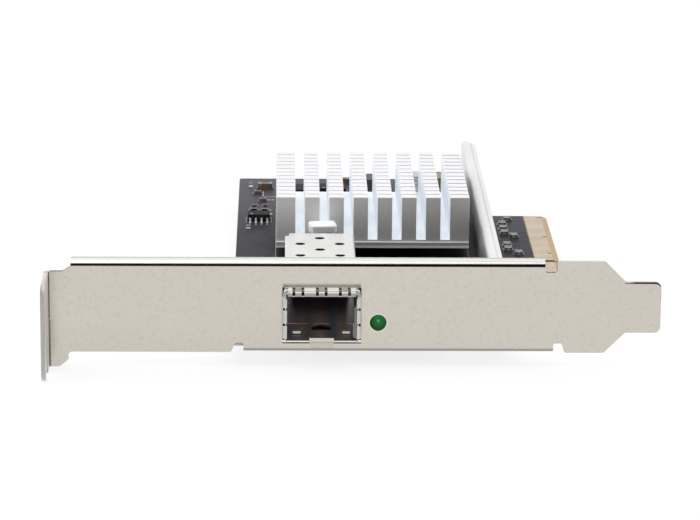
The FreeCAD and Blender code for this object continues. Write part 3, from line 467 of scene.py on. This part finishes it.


# black mask over copper: runs of fine traces, poured areas and small covered vias, paler towards the far
# edge with painted light; bare laminate at the cut edges, darker brown along their top, with painted shade
# on the edge under the port
def boardLook():
    look = Look("blackSolderMask")
    mask = boardMask
    x, y, z = (look.axis(index) for index in range(3))
    pour = look.rise(look.noise(mask["pours"], 2, (1, 1, 0.1)), *mask["pourAt"])
    cells = look.node("ShaderNodeTexVoronoi", {"distance": "CHEBYCHEV", "feature": "F1"},
                      {"Vector": look.mapped((1, 1, 0.01), turn=mask["cellTurn"]), "Scale": mask["cells"]})
    folded = look.calc("PINGPONG", y * (1 / mm) + mask["runShift"], mask["runPitch"])
    nearFingers = look.rise(x, mask["fingers"] - mask["fade"], mask["fingers"] + mask["fade"])
    across = look.calc("PINGPONG", (x + y) * mask["laneCount"], mask["laneFold"])
    lanes = look.rise(look.noise(mask["lanes"], 1, (1, 1, 0.1), (0.4, 0.8, 0)), *mask["lanesAt"])
    lanes = look.rise(across, *mask["laneAt"]) * lanes
    runs = look.rise(folded, *mask["runAt"]) * nearFingers
    copper = look.calc("MAXIMUM", runs, look.calc("MAXIMUM", lanes, pour * 0.8))
    viaCells = look.node("ShaderNodeTexVoronoi", {"feature": "F1"},
                         {"Vector": look.mapped((1, 1, 0.01)), "Scale": mask["vias"], "Randomness": 0.8})
    vias = 1 - look.rise(viaCells, *mask["viaAt"])
    relief = copper * 0.7 + vias * 0.6 + (1 - look.rise(cells, *mask["cellAt"])) * 0.2
    tint = look.mix(copper * 0.8 + vias * 0.4, mask["mask"], mask["over"])
    # painted light: the mask is paler towards the far edge
    tint = look.mix(look.rise(y, *mask["farAt"]), tint, mask["far"])
    tint = look.mix(x > contactLow.x - 2 * slack, tint, mask["under"])
    side = 1 - look.rise(look.calc("ABSOLUTE", look.facing(2)), 0.45, 0.6)
    core = look.mix(look.noise(2600, 3, (1, 1, 5)), mask["core"], mask["weave"])
    # the cut edge is darker brown along its top
    darkTopBand = look.rise(z, *(boardTop - reach for reach in mask["darkTopBand"]))
    core = look.mix(darkTopBand * 0.9, core, mask["cut"])
    bevel = look.rise(x, mask["bevelStart"] - mask["bevelFade"], mask["bevelStart"])
    core = look.mix(bevel * look.rise(look.facing(0), 0.1, 0.2), core, mask["bevel"])
    # painted shade on the cut edge under the port
    under = look.calc("ABSOLUTE", x - (cageLow.x + cageHigh.x) / 2) < mask["portHalf"]
    core = look.mix(under * (y < bracketFace + mask["portDeep"]), core, mask["cut"])
    bare = look.calc("MAXIMUM", side, bevel)
    colour = look.mix(bare, tint, core)
    rough = look.span(bare, *mask["rough"])
    normal = look.bump(relief + look.noise(2200, 2) * 0.12, mask["relief"], mask["reliefDepth"])
    return look.surface(colour=colour, roughness=rough, normal=normal, specular=mask["specular"])


moulding = {"cloud": 400, "grain": 4200}


def mouldedLook(name, setup):
    look = Look(name)
    cloud = look.noise(setup.get("cloud", moulding["cloud"]), 3)
    grain = look.noise(moulding["grain"], 3)
    colour = look.mix(cloud, setup["dark"], setup["light"])
    rough = look.span(grain * 0.5 + cloud * 0.5, *setup["rough"])
    extra = {key: setup[key] for key in ("subsurface", "subsurfaceScale", "specular") if key in setup}
    normal = look.bump(grain, setup["relief"], grainDepth)
    return look.surface(colour=colour, roughness=rough, normal=normal, **extra)


blackMoulding = {"dark": (0.014, 0.014, 0.015), "light": (0.028, 0.028, 0.029), "rough": (0.42, 0.58),
                 "relief": 0.25}
chipEpoxy = {"dark": (0.010, 0.011, 0.014), "light": (0.020, 0.021, 0.026), "rough": (0.45, 0.62),
             "relief": 0.35, "specular": 0.07}
whiteNylon = {"dark": (0.93, 0.93, 0.94), "light": (0.97, 0.97, 0.98), "rough": (0.35, 0.5),
              "relief": 0.1, "subsurface": 0.25, "subsurfaceScale": 0.6 * mm}
greyPad = {"dark": (0.28, 0.29, 0.31), "light": (0.36, 0.37, 0.39), "rough": (0.6, 0.8), "relief": 0.4}
greenCarrier = {"dark": (0.02, 0.075, 0.035), "light": (0.04, 0.12, 0.06), "rough": (0.35, 0.5),
                "relief": 0.15}
brownCeramic = {"dark": (0.13, 0.075, 0.045), "light": (0.22, 0.13, 0.08), "rough": (0.45, 0.62),
                "relief": 0.3, "cloud": 1200}
greyCeramic = {"dark": (0.26, 0.25, 0.245), "light": (0.36, 0.35, 0.34), "rough": (0.45, 0.62),
               "relief": 0.3, "cloud": 1200}
blackGlaze = {"dark": (0.014, 0.014, 0.016), "light": (0.03, 0.03, 0.034), "rough": (0.18, 0.32),
              "relief": 0.1}
greyFerrite = {"dark": (0.045, 0.046, 0.05), "light": (0.085, 0.086, 0.09), "rough": (0.5, 0.7),
               "relief": 0.55}
amberEpoxy = {"dark": (0.19, 0.15, 0.08), "light": (0.28, 0.22, 0.12), "rough": (0.35, 0.5), "relief": 0.2}
whiteInk = {"dark": (0.26, 0.26, 0.27), "light": (0.40, 0.40, 0.41), "rough": (0.55, 0.7), "relief": 0.3}

greenLens = {"deep": (0.003, 0.045, 0.012), "lit": (0.018, 0.25, 0.05), "rough": 0.4,
             "shine": (0.10, 0.42, 0.16), "half": 1.5 * mm, "frost": 2600, "relief": 0.15, "specular": 0.2,
             "spotUp": 0.4, "spotAt": (0.05, 0.28)}


# tinted lens with painted light: lighter high in the dome, painted shade towards its lower rim, and a
# small painted highlight over the middle
def lensLook():
    look = Look("greenLens")
    middle = (lensLow + lensHigh) / 2
    dx = (look.axis(0) - middle.x) * (1 / greenLens["half"])
    dz = (look.axis(2) - middle.z) * (1 / greenLens["half"])
    ring = look.calc("SQRT", dx * dx + dz * dz)
    # painted light and shade: lighter high in the dome, darker towards its lower rim
    lit = look.rise(dz * 0.45 - ring * 0.5 + 0.75, 0.0, 0.8)
    frost = look.noise(greenLens["frost"], 3)
    colour = look.mix(lit * 0.75 + frost * 0.15, greenLens["deep"], greenLens["lit"])
    # painted highlight over the middle of the dome
    up = dz - greenLens["spotUp"]
    spot = 1 - look.rise(look.calc("SQRT", dx * dx + up * up), *greenLens["spotAt"])
    shine = look.mix(spot * frost, black, greenLens["shine"])
    normal = look.bump(frost, greenLens["relief"], grainDepth)
    return look.surface(colour=colour, roughness=greenLens["rough"], normal=normal,
                        specular=greenLens["specular"], emission=shine, emissionStrength=1.0)


looks = {
    "bracket_steel": bracketLook(),
    "cage_steel": cageLook(),
    "spring_steel": plainMetalLook("springSteel", springSteel),
    "screw_steel": plainMetalLook("screwSteel", screwSteel),
    "tinned_pads": plainMetalLook("tinPlate", tinPlate),
    "gold_plating": plainMetalLook("goldPlate", goldPlate),
    "rail_aluminium": plainMetalLook("railMetal", railMetal),
    "sink_aluminium": sinkLook(),
    "board_laminate": boardLook(),
    "black_moulding": mouldedLook("blackMoulding", blackMoulding),
    "chip_epoxy": mouldedLook("chipEpoxy", chipEpoxy),
    "white_nylon": mouldedLook("whiteNylon", whiteNylon),
    "thermal_grey": mouldedLook("greyPad", greyPad),
    "chip_laminate": mouldedLook("greenCarrier", greenCarrier),
    "ceramic_brown": mouldedLook("brownCeramic", brownCeramic),
    "resistor_black": mouldedLook("blackGlaze", blackGlaze),
    "ferrite_grey": mouldedLook("greyFerrite", greyFerrite),
    "capacitor_yellow": mouldedLook("amberEpoxy", amberEpoxy),
    "green_lens": lensLook(),
}
inkLook = mouldedLook("whiteInk", whiteInk)

slotOf = {part["node"]: part["material_slot"] for part in frame["record"]["subparts"]}
special = {"lane_capacitors": mouldedLook("greyCeramic", greyCeramic),
           "flash_chip_legs": plainMetalLook("brightTin", brightTin),
           "emi_spring_collar": collarLook()}
for name, node in nodes.items():
    for index in range(len(node.material_slots)):
        node.material_slots[index].material = special.get(name, looks[slotOf[name]])
print("finishes made:", len(looks) + len(special) + 1)


# a new piece: its mesh in place, its finish, its slot, and the body that it rides on
def addPiece(name, form, finish, smooth=35):
    mesh = bpy.data.meshes.new(name)
    bmesh.ops.triangulate(form, faces=[face for face in form.faces if len(face.verts) > 4])
    form.to_mesh(mesh)
    form.free()
    piece = bpy.data.objects.new(name, mesh)
    bpy.context.scene.collection.objects.link(piece)
    mesh.materials.append(finish)
    if smooth:
        mesh.shade_smooth()
        mesh.set_sharp_from_angle(angle=math.radians(smooth))
    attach(piece, "root")
    return piece


shading = {"wide": 20.0, "near": 0.004 * mm, "shift": 0.023}


# flat faces keep flat shading up to their broken edges: each corner leans to its widest plane, and a thin
# sliver counts as part of the wide plane that it lies in
def evenShading(piece):
    mesh = piece.data
    planes = {}
    for face in mesh.polygons:
        level = face.normal.dot(face.center) / mm + shading["shift"]
        key = (*(round(value, 2) for value in face.normal), round(level, 1))
        planes.setdefault(key, []).append(face)
    areas = {key: sum(face.area for face in faces) / mm ** 2 for key, faces in planes.items()}
    wide = []
    for key, faces in planes.items():
        if areas[key] > shading["wide"]:
            largest = max(faces, key=lambda face: face.area)
            wide.append((largest.normal.copy(), largest.normal.dot(largest.center), areas[key]))
    normals = [Vector() for _ in mesh.vertices]
    for key, faces in planes.items():
        for face in faces:
            normal, weight = face.normal, areas[key]
            corners = [mesh.vertices[index].co for index in face.vertices]
            for across, level, area in wide:
                if area <= weight or across.dot(face.normal) < -0.5:
                    continue
                if all(abs(across.dot(corner) - level) < shading["near"] for corner in corners):
                    normal, weight = across, area
            for index in face.vertices:
                normals[index] += normal * weight ** 2
    mesh.normals_split_custom_set_from_vertices([normal.normalized() for normal in normals])


def sharpEdges(form, angle):
    return [edge for edge in form.edges
            if len(edge.link_faces) == 2 and edge.calc_face_angle(0) > math.radians(angle)]


def breakEdges(form, edges, width, segments):
    bmesh.ops.bevel(form, geom=edges, offset=width, offset_type="OFFSET", affect="EDGES",
                    segments=segments, profile=0.5, material=-1, clamp_overlap=True, loop_slide=False)


breaks = {"join": 0.002 * mm, "flat": math.radians(0.6), "sharp": 32, "sliver": 0.001 * mm, "steps": 2,
          "rollSteps": 3}


def joinedForm(node):
    form = bmesh.new()
    form.from_mesh(nodes[node].data)
    bmesh.ops.remove_doubles(form, verts=form.verts, dist=breaks["join"])
    return form


# the CAD piece again with its cut edges broken; rolled lists the wider edges, each a test and a width
def finePiece(node, name, width, rolled=()):
    form = joinedForm(node)
    bmesh.ops.dissolve_limit(form, angle_limit=breaks["flat"], verts=form.verts, edges=form.edges)
    for test, roll in rolled:
        edges = [edge for edge in sharpEdges(form, breaks["sharp"]) if test(edge)]
        breakEdges(form, edges, roll, breaks["rollSteps"])
    breakEdges(form, sharpEdges(form, breaks["sharp"]), width, breaks["steps"])
    # bevels leave faces without area, which would spoil the shading
    bmesh.ops.remove_doubles(form, verts=form.verts, dist=breaks["sliver"])
    bmesh.ops.dissolve_degenerate(form, dist=breaks["sliver"], edges=form.edges)
    piece = addPiece(name, form, looks[slotOf[node]])
    evenShading(piece)
    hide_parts(node)
    return piece


# lowest and highest corner of each separate solid in a node, or of each bit of it under a height
def islands(node, under=None):
    form = joinedForm(node)
    if under is not None:
        above = [vert for vert in form.verts if vert.co.z > under]
        bmesh.ops.delete(form, geom=above, context="VERTS")
    waiting = set(form.verts)
    found = []
    while waiting:
        group = [waiting.pop()]
        for vert in group:
            for edge in vert.link_edges:
                other = edge.other_vert(vert)
                if other in waiting:
                    waiting.remove(other)
                    group.append(other)
        xs, ys, zs = zip(*[vert.co for vert in group])
        found.append((Vector((min(xs), min(ys), min(zs))), Vector((max(xs), max(ys), max(zs)))))
    form.free()
    return sorted(found, key=lambda pair: tuple(round(value, 6) for value in pair[0]))


def bar(form, low, high):
    middle = (Vector(low) + Vector(high)) / 2
    size = Vector(high) - Vector(low)
    return bmesh.ops.create_cube(form, size=1, matrix=Matrix.LocRotScale(middle, None, size))["verts"]


edgeBreaks = {"heatsink": 0.10 * mm, "stiffener_rail": 0.08 * mm, "cage_shell": 0.05 * mm,
              "flash_chip_body": 0.06 * mm, "power_inductors": 0.15 * mm, "tantalum_capacitors": 0.1 * mm,
              "heatsink_push_pins": 0.12 * mm, "crystal_can": 0.1 * mm,
              "port_connector_housing": 0.12 * mm, "voltage_regulator": 0.08 * mm,
              "power_stage": 0.08 * mm, "bracket_screws": 0.12 * mm, "rail_screws": 0.1 * mm}

for node, width in edgeBreaks.items():
    finePiece(node, node + "Fine", width)

bracketEdges = {"width": 0.10 * mm, "shoulder": 0.17 * mm, "tongue": 0.34 * mm, "shoulderFrom": 4.5 * mm,
                "tongueFrom": 8.5 * mm, "tongueHigh": 7 * mm,
                "near": 0.02 * mm}


# the shear rolled the sheet's face over along the top of the slot end, most of all on its tongue
def makeBracket():
    middle = (bracketLow.z + bracketHigh.z) / 2
    key = contactHigh.x

    def onTop(edge):
        first, last = (vert.co for vert in edge.verts)
        front = max(first.y, last.y) < bracketFace + bracketEdges["near"]
        start = key - bracketEdges["shoulderFrom"]
        return front and min(first.z, last.z) > middle and min(first.x, last.x) > start

    def onTongue(edge):
        first, last = (vert.co for vert in edge.verts)
        level = max(first.z, last.z) < middle + bracketEdges["tongueHigh"]
        return onTop(edge) and level and min(first.x, last.x) > key + bracketEdges["tongueFrom"]

    rolled = ((onTongue, bracketEdges["tongue"]), (onTop, bracketEdges["shoulder"]))
    finePiece("bracket", "bracketFine", bracketEdges["width"], rolled)


makeBracket()
print("edges broken:", len(edgeBreaks) + 1)


lens = {"dome": 0.72 * mm, "rings": 10, "steps": 48, "join": 0.004 * mm}


# the status light's lens with its domed end, turned about its own axis
def makeLens():
    low, high = lensLow, lensHigh
    middle = (low + high) / 2
    radius = (high.x - low.x) / 2
    form = bmesh.new()
    path = [form.verts.new((middle.x, low.y, middle.z))]
    for ring in range(1, lens["rings"] + 1):
        angle = math.pi / 2 * ring / lens["rings"]
        out = radius * math.sin(angle)
        back = lens["dome"] * (1 - math.cos(angle))
        path.append(form.verts.new((middle.x + out, low.y + back, middle.z)))
    path.append(form.verts.new((middle.x + radius, high.y, middle.z)))
    path.append(form.verts.new((middle.x, high.y, middle.z)))
    edges = [form.edges.new(pair) for pair in zip(path, path[1:])]
    bmesh.ops.spin(form, geom=path + edges, cent=middle, axis=(0, 1, 0), angle=math.tau,
                   steps=lens["steps"])
    bmesh.ops.remove_doubles(form, verts=form.verts, dist=lens["join"])
    bmesh.ops.recalc_face_normals(form, faces=form.faces)
    piece = addPiece("statusLens", form, looks["green_lens"])
    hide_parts("status_light_lens")


makeLens()


solder = {"film": 0.035 * mm, "grow": 0.16 * mm, "reach": 0.34 * mm, "climb": 0.55,
          "bodies": ("lane_capacitors", "ceramic_capacitors", "chip_resistors"),
          "level": 0.1 * mm, "touch": 0.03 * mm, "near": 0.02 * mm, "legPad": (0.42 * mm, 2.3 * mm),
          "legInset": 0.6 * mm}


# pads under every small part and chip leg, with a fillet running up the outer end of each terminal
def makeSolder():
    form = bmesh.new()
    top = boardTop + solder["film"]
    ends = islands("component_terminals")
    for low, high in ends:
        grow = solder["grow"]
        bar(form, (low.x - grow, low.y - grow, boardTop), (high.x + grow, high.y + grow, top))
    bodies = [box for node in solder["bodies"] for box in islands(node)]
    fillets = 0
    for low, high in bodies:
        for endLow, endHigh in ends:
            for axis in (0, 1):
                level = abs(endLow[1 - axis] - low[1 - axis]) < solder["level"]
                if level and abs(endLow[axis] - high[axis]) < solder["touch"]:
                    addFillet(form, endLow, endHigh, axis, 1)
                    fillets += 1
                if level and abs(endHigh[axis] - low[axis]) < solder["touch"]:
                    addFillet(form, endLow, endHigh, axis, -1)
                    fillets += 1
    wide, long = solder["legPad"]
    chipLow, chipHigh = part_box("flash_chip_body")
    for low, high in islands("flash_chip_legs"):
        middle = (low.x + high.x) / 2
        if low.y < (chipLow.y + chipHigh.y) / 2:
            back = low.y + solder["legInset"]
            front = low.y - long + solder["legInset"]
        else:
            back = high.y + long / 2
            front = high.y - solder["legInset"]
        bar(form, (middle - wide / 2, front, boardTop), (middle + wide / 2, back, top))
    addPiece("solderFillets", form, looks["tinned_pads"])
    print("solder fillets:", fillets)


def addFillet(form, low, high, axis, side):
    face = high[axis] if side > 0 else low[axis]
    tip = face + side * solder["reach"]
    start = Vector((low.x, low.y, boardTop))
    end = Vector((high.x, high.y, boardTop + solder["climb"] * (high.z - low.z)))
    start[axis] = min(face, tip)
    end[axis] = max(face, tip)
    for vert in bar(form, start, end):
        if abs(vert.co[axis] - tip) < solder["near"] and vert.co.z > boardTop + solder["near"]:
            vert.co.z = boardTop + solder["film"]


makeSolder()


collar = {"fold": 0.39 * mm, "rise": 0.17 * mm, "sheet": (0.11 * mm, 0.02 * mm), "inset": 0.9 * mm}


# the strip under the collar's top fingers that joins their noses
def makeCollarStrip():
    form = bmesh.new()
    low = cageHigh.z - collar["fold"]
    front, back = (cageLow.y - reach for reach in collar["sheet"])
    inset = collar["inset"]
    bar(form, (cageLow.x + inset, front, low), (cageHigh.x - inset, back, low + collar["rise"]))
    addPiece("collarStrip", form, looks["spring_steel"])


makeCollarStrip()


joints = {"cage": (0.85 * mm, 0.42 * mm, 0.55 * mm), "light": (0.62 * mm, 0.38 * mm, 0.45 * mm),
          "sides": 16, "below": 0.05 * mm}


# cones of solder where pins come through the board, on its solder side
def makeJoints():
    form = bmesh.new()
    under = boardBottom - joints["below"]
    for node, size in (("cage_shell", joints["cage"]), ("status_light_leads", joints["light"])):
        wide, narrow, depth = size
        for low, high in islands(node, under):
            place = Vector(((low.x + high.x) / 2, (low.y + high.y) / 2, boardBottom - depth / 2))
            bmesh.ops.create_cone(form, cap_ends=True, segments=joints["sides"], radius1=narrow,
                                  radius2=wide, depth=depth, matrix=Matrix.Translation(place))
    addPiece("pinJoints", form, looks["tinned_pads"], smooth=50)


makeJoints()


silk = {"line": 0.15 * mm, "thick": 0.02 * mm, "clear": 0.32 * mm,
        "outlined": ("power_inductors", "voltage_regulator", "power_stage", "tantalum_capacitors",
                     "crystal_base", "flash_chip_body"),
        "dash": (0.55 * mm, 0.85 * mm, 0.35 * mm), "dashGap": 2.5, "footClear": 0.1 * mm,
        "corner": (3.4 * mm, 5.0 * mm, 0.30 * mm), "cornerAt": (0.2 * mm, 1.6 * mm),
        "cornerDashes": (0.6 * mm, 3.2 * mm)}


def stroke(form, x, y):
    bar(form, (x[0], y[0], boardTop), (x[1], y[1], boardTop + silk["thick"]))


def outline(form, low, high, clear):
    half = silk["line"] / 2
    for x in (low.x - clear, high.x + clear):
        stroke(form, (x - half, x + half), (low.y - clear - half, high.y + clear + half))
    for y in (low.y - clear, high.y + clear):
        stroke(form, (low.x - clear, high.x + clear), (y - half, y + half))


# plain dashes where a board has its markings
def dashes(form, x, y, count):
    wide, tall, gap = silk["dash"]
    for index in range(count):
        start = x + index * (wide + gap)
        stroke(form, (start, start + wide), (y, y + tall))


def makeSilk():
    form = bmesh.new()
    for node in silk["outlined"]:
        for low, high in islands(node):
            outline(form, low, high, silk["clear"])
            dashes(form, low.x, high.y + silk["dashGap"] * silk["clear"], 3)
    pins = [vert.co for vert in nodes["heatsink"].data.vertices if vert.co.z > sinkHigh.z - slack]
    foot = [Vector(pick(values) for values in zip(*pins)) for pick in (min, max)]
    outline(form, *foot, silk["footClear"])
    wide, tall, line = silk["corner"]
    inset, gap = silk["cornerAt"]
    low, high = max(islands("ceramic_capacitors"), key=lambda box: (box[1].z, -box[0].x))
    left = low.x + inset
    front = low.y - tall - gap
    stroke(form, (left, left + line), (front, front + tall))
    stroke(form, (left, left + wide), (front, front + line))
    aside, below = silk["cornerDashes"]
    dashes(form, left - aside, front - below, 4)
    addPiece("boardInk", form, inkLook, smooth=0)


makeSilk()


mouth = {"count": 10, "pitch": 0.8 * mm, "wide": 0.34 * mm, "thick": 0.16 * mm,
         "deep": (0.9 * mm, 5.8 * mm), "levels": (2.7 * mm, 3.94 * mm)}


# gold blades inside the connector's mouth, over and under the gap for a module's tongue
def makeMouthContacts():
    form = bmesh.new()
    low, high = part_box("port_connector_housing")
    middle = (low.x + high.x) / 2
    front, back = (low.y + reach for reach in mouth["deep"])
    for index in range(mouth["count"]):
        x = middle + (index - (mouth["count"] - 1) / 2) * mouth["pitch"]
        for level in mouth["levels"]:
            z = low.z + level
            half = mouth["wide"] / 2
            bar(form, (x - half, front, z), (x + half, back, z + mouth["thick"]))
    addPiece("mouthContacts", form, looks["gold_plating"], smooth=0)


makeMouthContacts()


marks = {"stripe": 0.9 * mm, "inset": 0.32 * mm, "film": 0.015 * mm, "dot": 0.32 * mm,
         "dotInset": 0.9 * mm, "dotSides": 20}


# polarity stripes on the amber capacitors and first-pin dots on the chips
def makeMarks():
    stripes = bmesh.new()
    inset = marks["inset"]
    for low, high in islands("tantalum_capacitors"):
        bar(stripes, (low.x + inset, high.y - inset - marks["stripe"], high.z),
            (high.x - inset, high.y - inset, high.z + marks["film"]))
    addPiece("polarityStripes", stripes, looks["ceramic_brown"], smooth=0)
    dots = bmesh.new()
    for node in ("flash_chip_body", "voltage_regulator", "power_stage"):
        low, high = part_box(node)
        place = (low.x + marks["dotInset"], low.y + marks["dotInset"], high.z + marks["film"] / 2)
        bmesh.ops.create_cone(dots, cap_ends=True, segments=marks["dotSides"], radius1=marks["dot"],
                              radius2=marks["dot"], depth=marks["film"], matrix=Matrix.Translation(place))
    addPiece("firstPinDots", dots, inkLook, smooth=0)


makeMarks()
print("board detail added")


backdrop = {"floorSize": 6.0, "white": (1.0, 1.0, 1.0), "paint": (0.86, 0.86, 0.86), "seen": 0.80,
            "glow": 1.04}


def makeFloor():
    form = bmesh.new()
    bmesh.ops.create_grid(form, x_segments=1, y_segments=1, size=backdrop["floorSize"] / 2,
                          matrix=Matrix.Translation((0, 0, cadBox[0].z)))
    mesh = bpy.data.meshes.new("floor")
    form.to_mesh(mesh)
    form.free()
    floor = bpy.data.objects.new("floor", mesh)
    bpy.context.scene.collection.objects.link(floor)
    look = Look("paleFloor")
    path = look.tree.nodes.new("ShaderNodeLightPath")
    seen = look.calc("MAXIMUM", Signal(look, path.outputs["Is Camera Ray"]),
                     Signal(look, path.outputs["Is Glossy Ray"]))
    paint = look.node("ShaderNodeBsdfDiffuse", None, {"Color": backdrop["paint"]})
    white = look.node("ShaderNodeEmission", None,
                      {"Color": backdrop["white"], "Strength": backdrop["glow"]})
    both = look.node("ShaderNodeMixShader", None, {0: seen * backdrop["seen"], 1: paint, 2: white})
    output = look.tree.nodes.new("ShaderNodeOutputMaterial")
    look.tree.links.new(both.socket, output.inputs[0])
    mesh.materials.append(look.material)


studio = {"sky": 0.80, "backdrop": 1.10, "behind": (0.15, 0.6), "dark": 0.004, "low": (-0.15, -0.05),
          "high": (0.68, 0.86), "front": (0.25, 0.6)}


# pale room, brighter beyond the card and dark behind the camera from the horizon to about halfway up
def makeWorld():
    world = bpy.data.worlds.new("studio")
    world.use_nodes = True
    bpy.context.scene.world = world
    look = Look("studio", world.node_tree)
    direction = look.node("ShaderNodeTexCoord", out=0)
    split = look.tree.nodes.new("ShaderNodeSeparateXYZ")
    look.tree.links.new(direction.socket, split.inputs[0])
    y = Signal(look, split.outputs[1])
    z = Signal(look, split.outputs[2])
    front = look.rise(-1 * y, *studio["front"])
    band = look.rise(z, *studio["low"]) * (1 - look.rise(z, *studio["high"]))
    behind = look.rise(y, *studio["behind"])
    pale = studio["sky"] + (studio["backdrop"] - studio["sky"]) * behind
    level = pale - (studio["sky"] - studio["dark"]) * (front * band)
    path = look.tree.nodes.new("ShaderNodeLightPath")
    seen = Signal(look, path.outputs["Is Camera Ray"])
    strength = level * (1 - seen) + seen
    shade = look.node("ShaderNodeBackground", None, {"Color": (1.0, 1.0, 1.0), "Strength": strength})
    output = look.tree.nodes.new("ShaderNodeOutputWorld")
    look.tree.links.new(shade.socket, output.inputs[0])


lamps = {
    "overhead": {"from": (-0.25, -0.20, 0.75), "size": 0.9, "power": 4.0},
    "side": {"from": (0.75, 0.15, 0.40), "size": 0.6, "power": 1.6},
}


def makeLamps(target):
    for name, lamp in lamps.items():
        light = bpy.data.lights.new(name, "AREA")
        light.size = lamp["size"]
        light.energy = lamp["power"]
        holder = bpy.data.objects.new(name, light)
        holder.location = target + Vector(lamp["from"])
        holder.rotation_euler = (-Vector(lamp["from"])).to_track_quat("-Z", "Y").to_euler()
        bpy.context.scene.collection.objects.link(holder)


camera = {"beside": 45.7 * mm, "above": 0.45 * mm, "distance": 655 * mm, "down": 15.0, "tilt": 15.018,
          "turn": 1.19, "roll": 0.178, "lens": 173.8, "sensor": 36, "clip": (0.01, 20)}


def makeCamera():
    aim = Vector((bracketLow.x + camera["beside"], bracketFace, bracketHigh.z + camera["above"]))
    down = math.radians(camera["down"])
    view = bpy.data.cameras.new("camera")
    view.sensor_width = camera["sensor"]
    view.lens = camera["lens"]
    view.clip_start, view.clip_end = camera["clip"]
    holder = bpy.data.objects.new("camera", view)
    holder.location = aim + camera["distance"] * Vector((0, -math.cos(down), math.sin(down)))
    tilt = Matrix.Rotation(math.radians(90 - camera["tilt"]), 3, "X")
    turn = Matrix.Rotation(-math.radians(camera["turn"]), 3, "Y")
    roll = Matrix.Rotation(math.radians(camera["roll"]), 3, "Z")
    holder.rotation_euler = (tilt @ turn @ roll).to_euler()
    bpy.context.scene.collection.objects.link(holder)
    bpy.context.scene.camera = holder


makeFloor()
makeWorld()
makeLamps((cadBox[0] + cadBox[1]) / 2)
makeCamera()
bpy.context.scene.view_settings.view_transform = "Standard"
print("studio set")
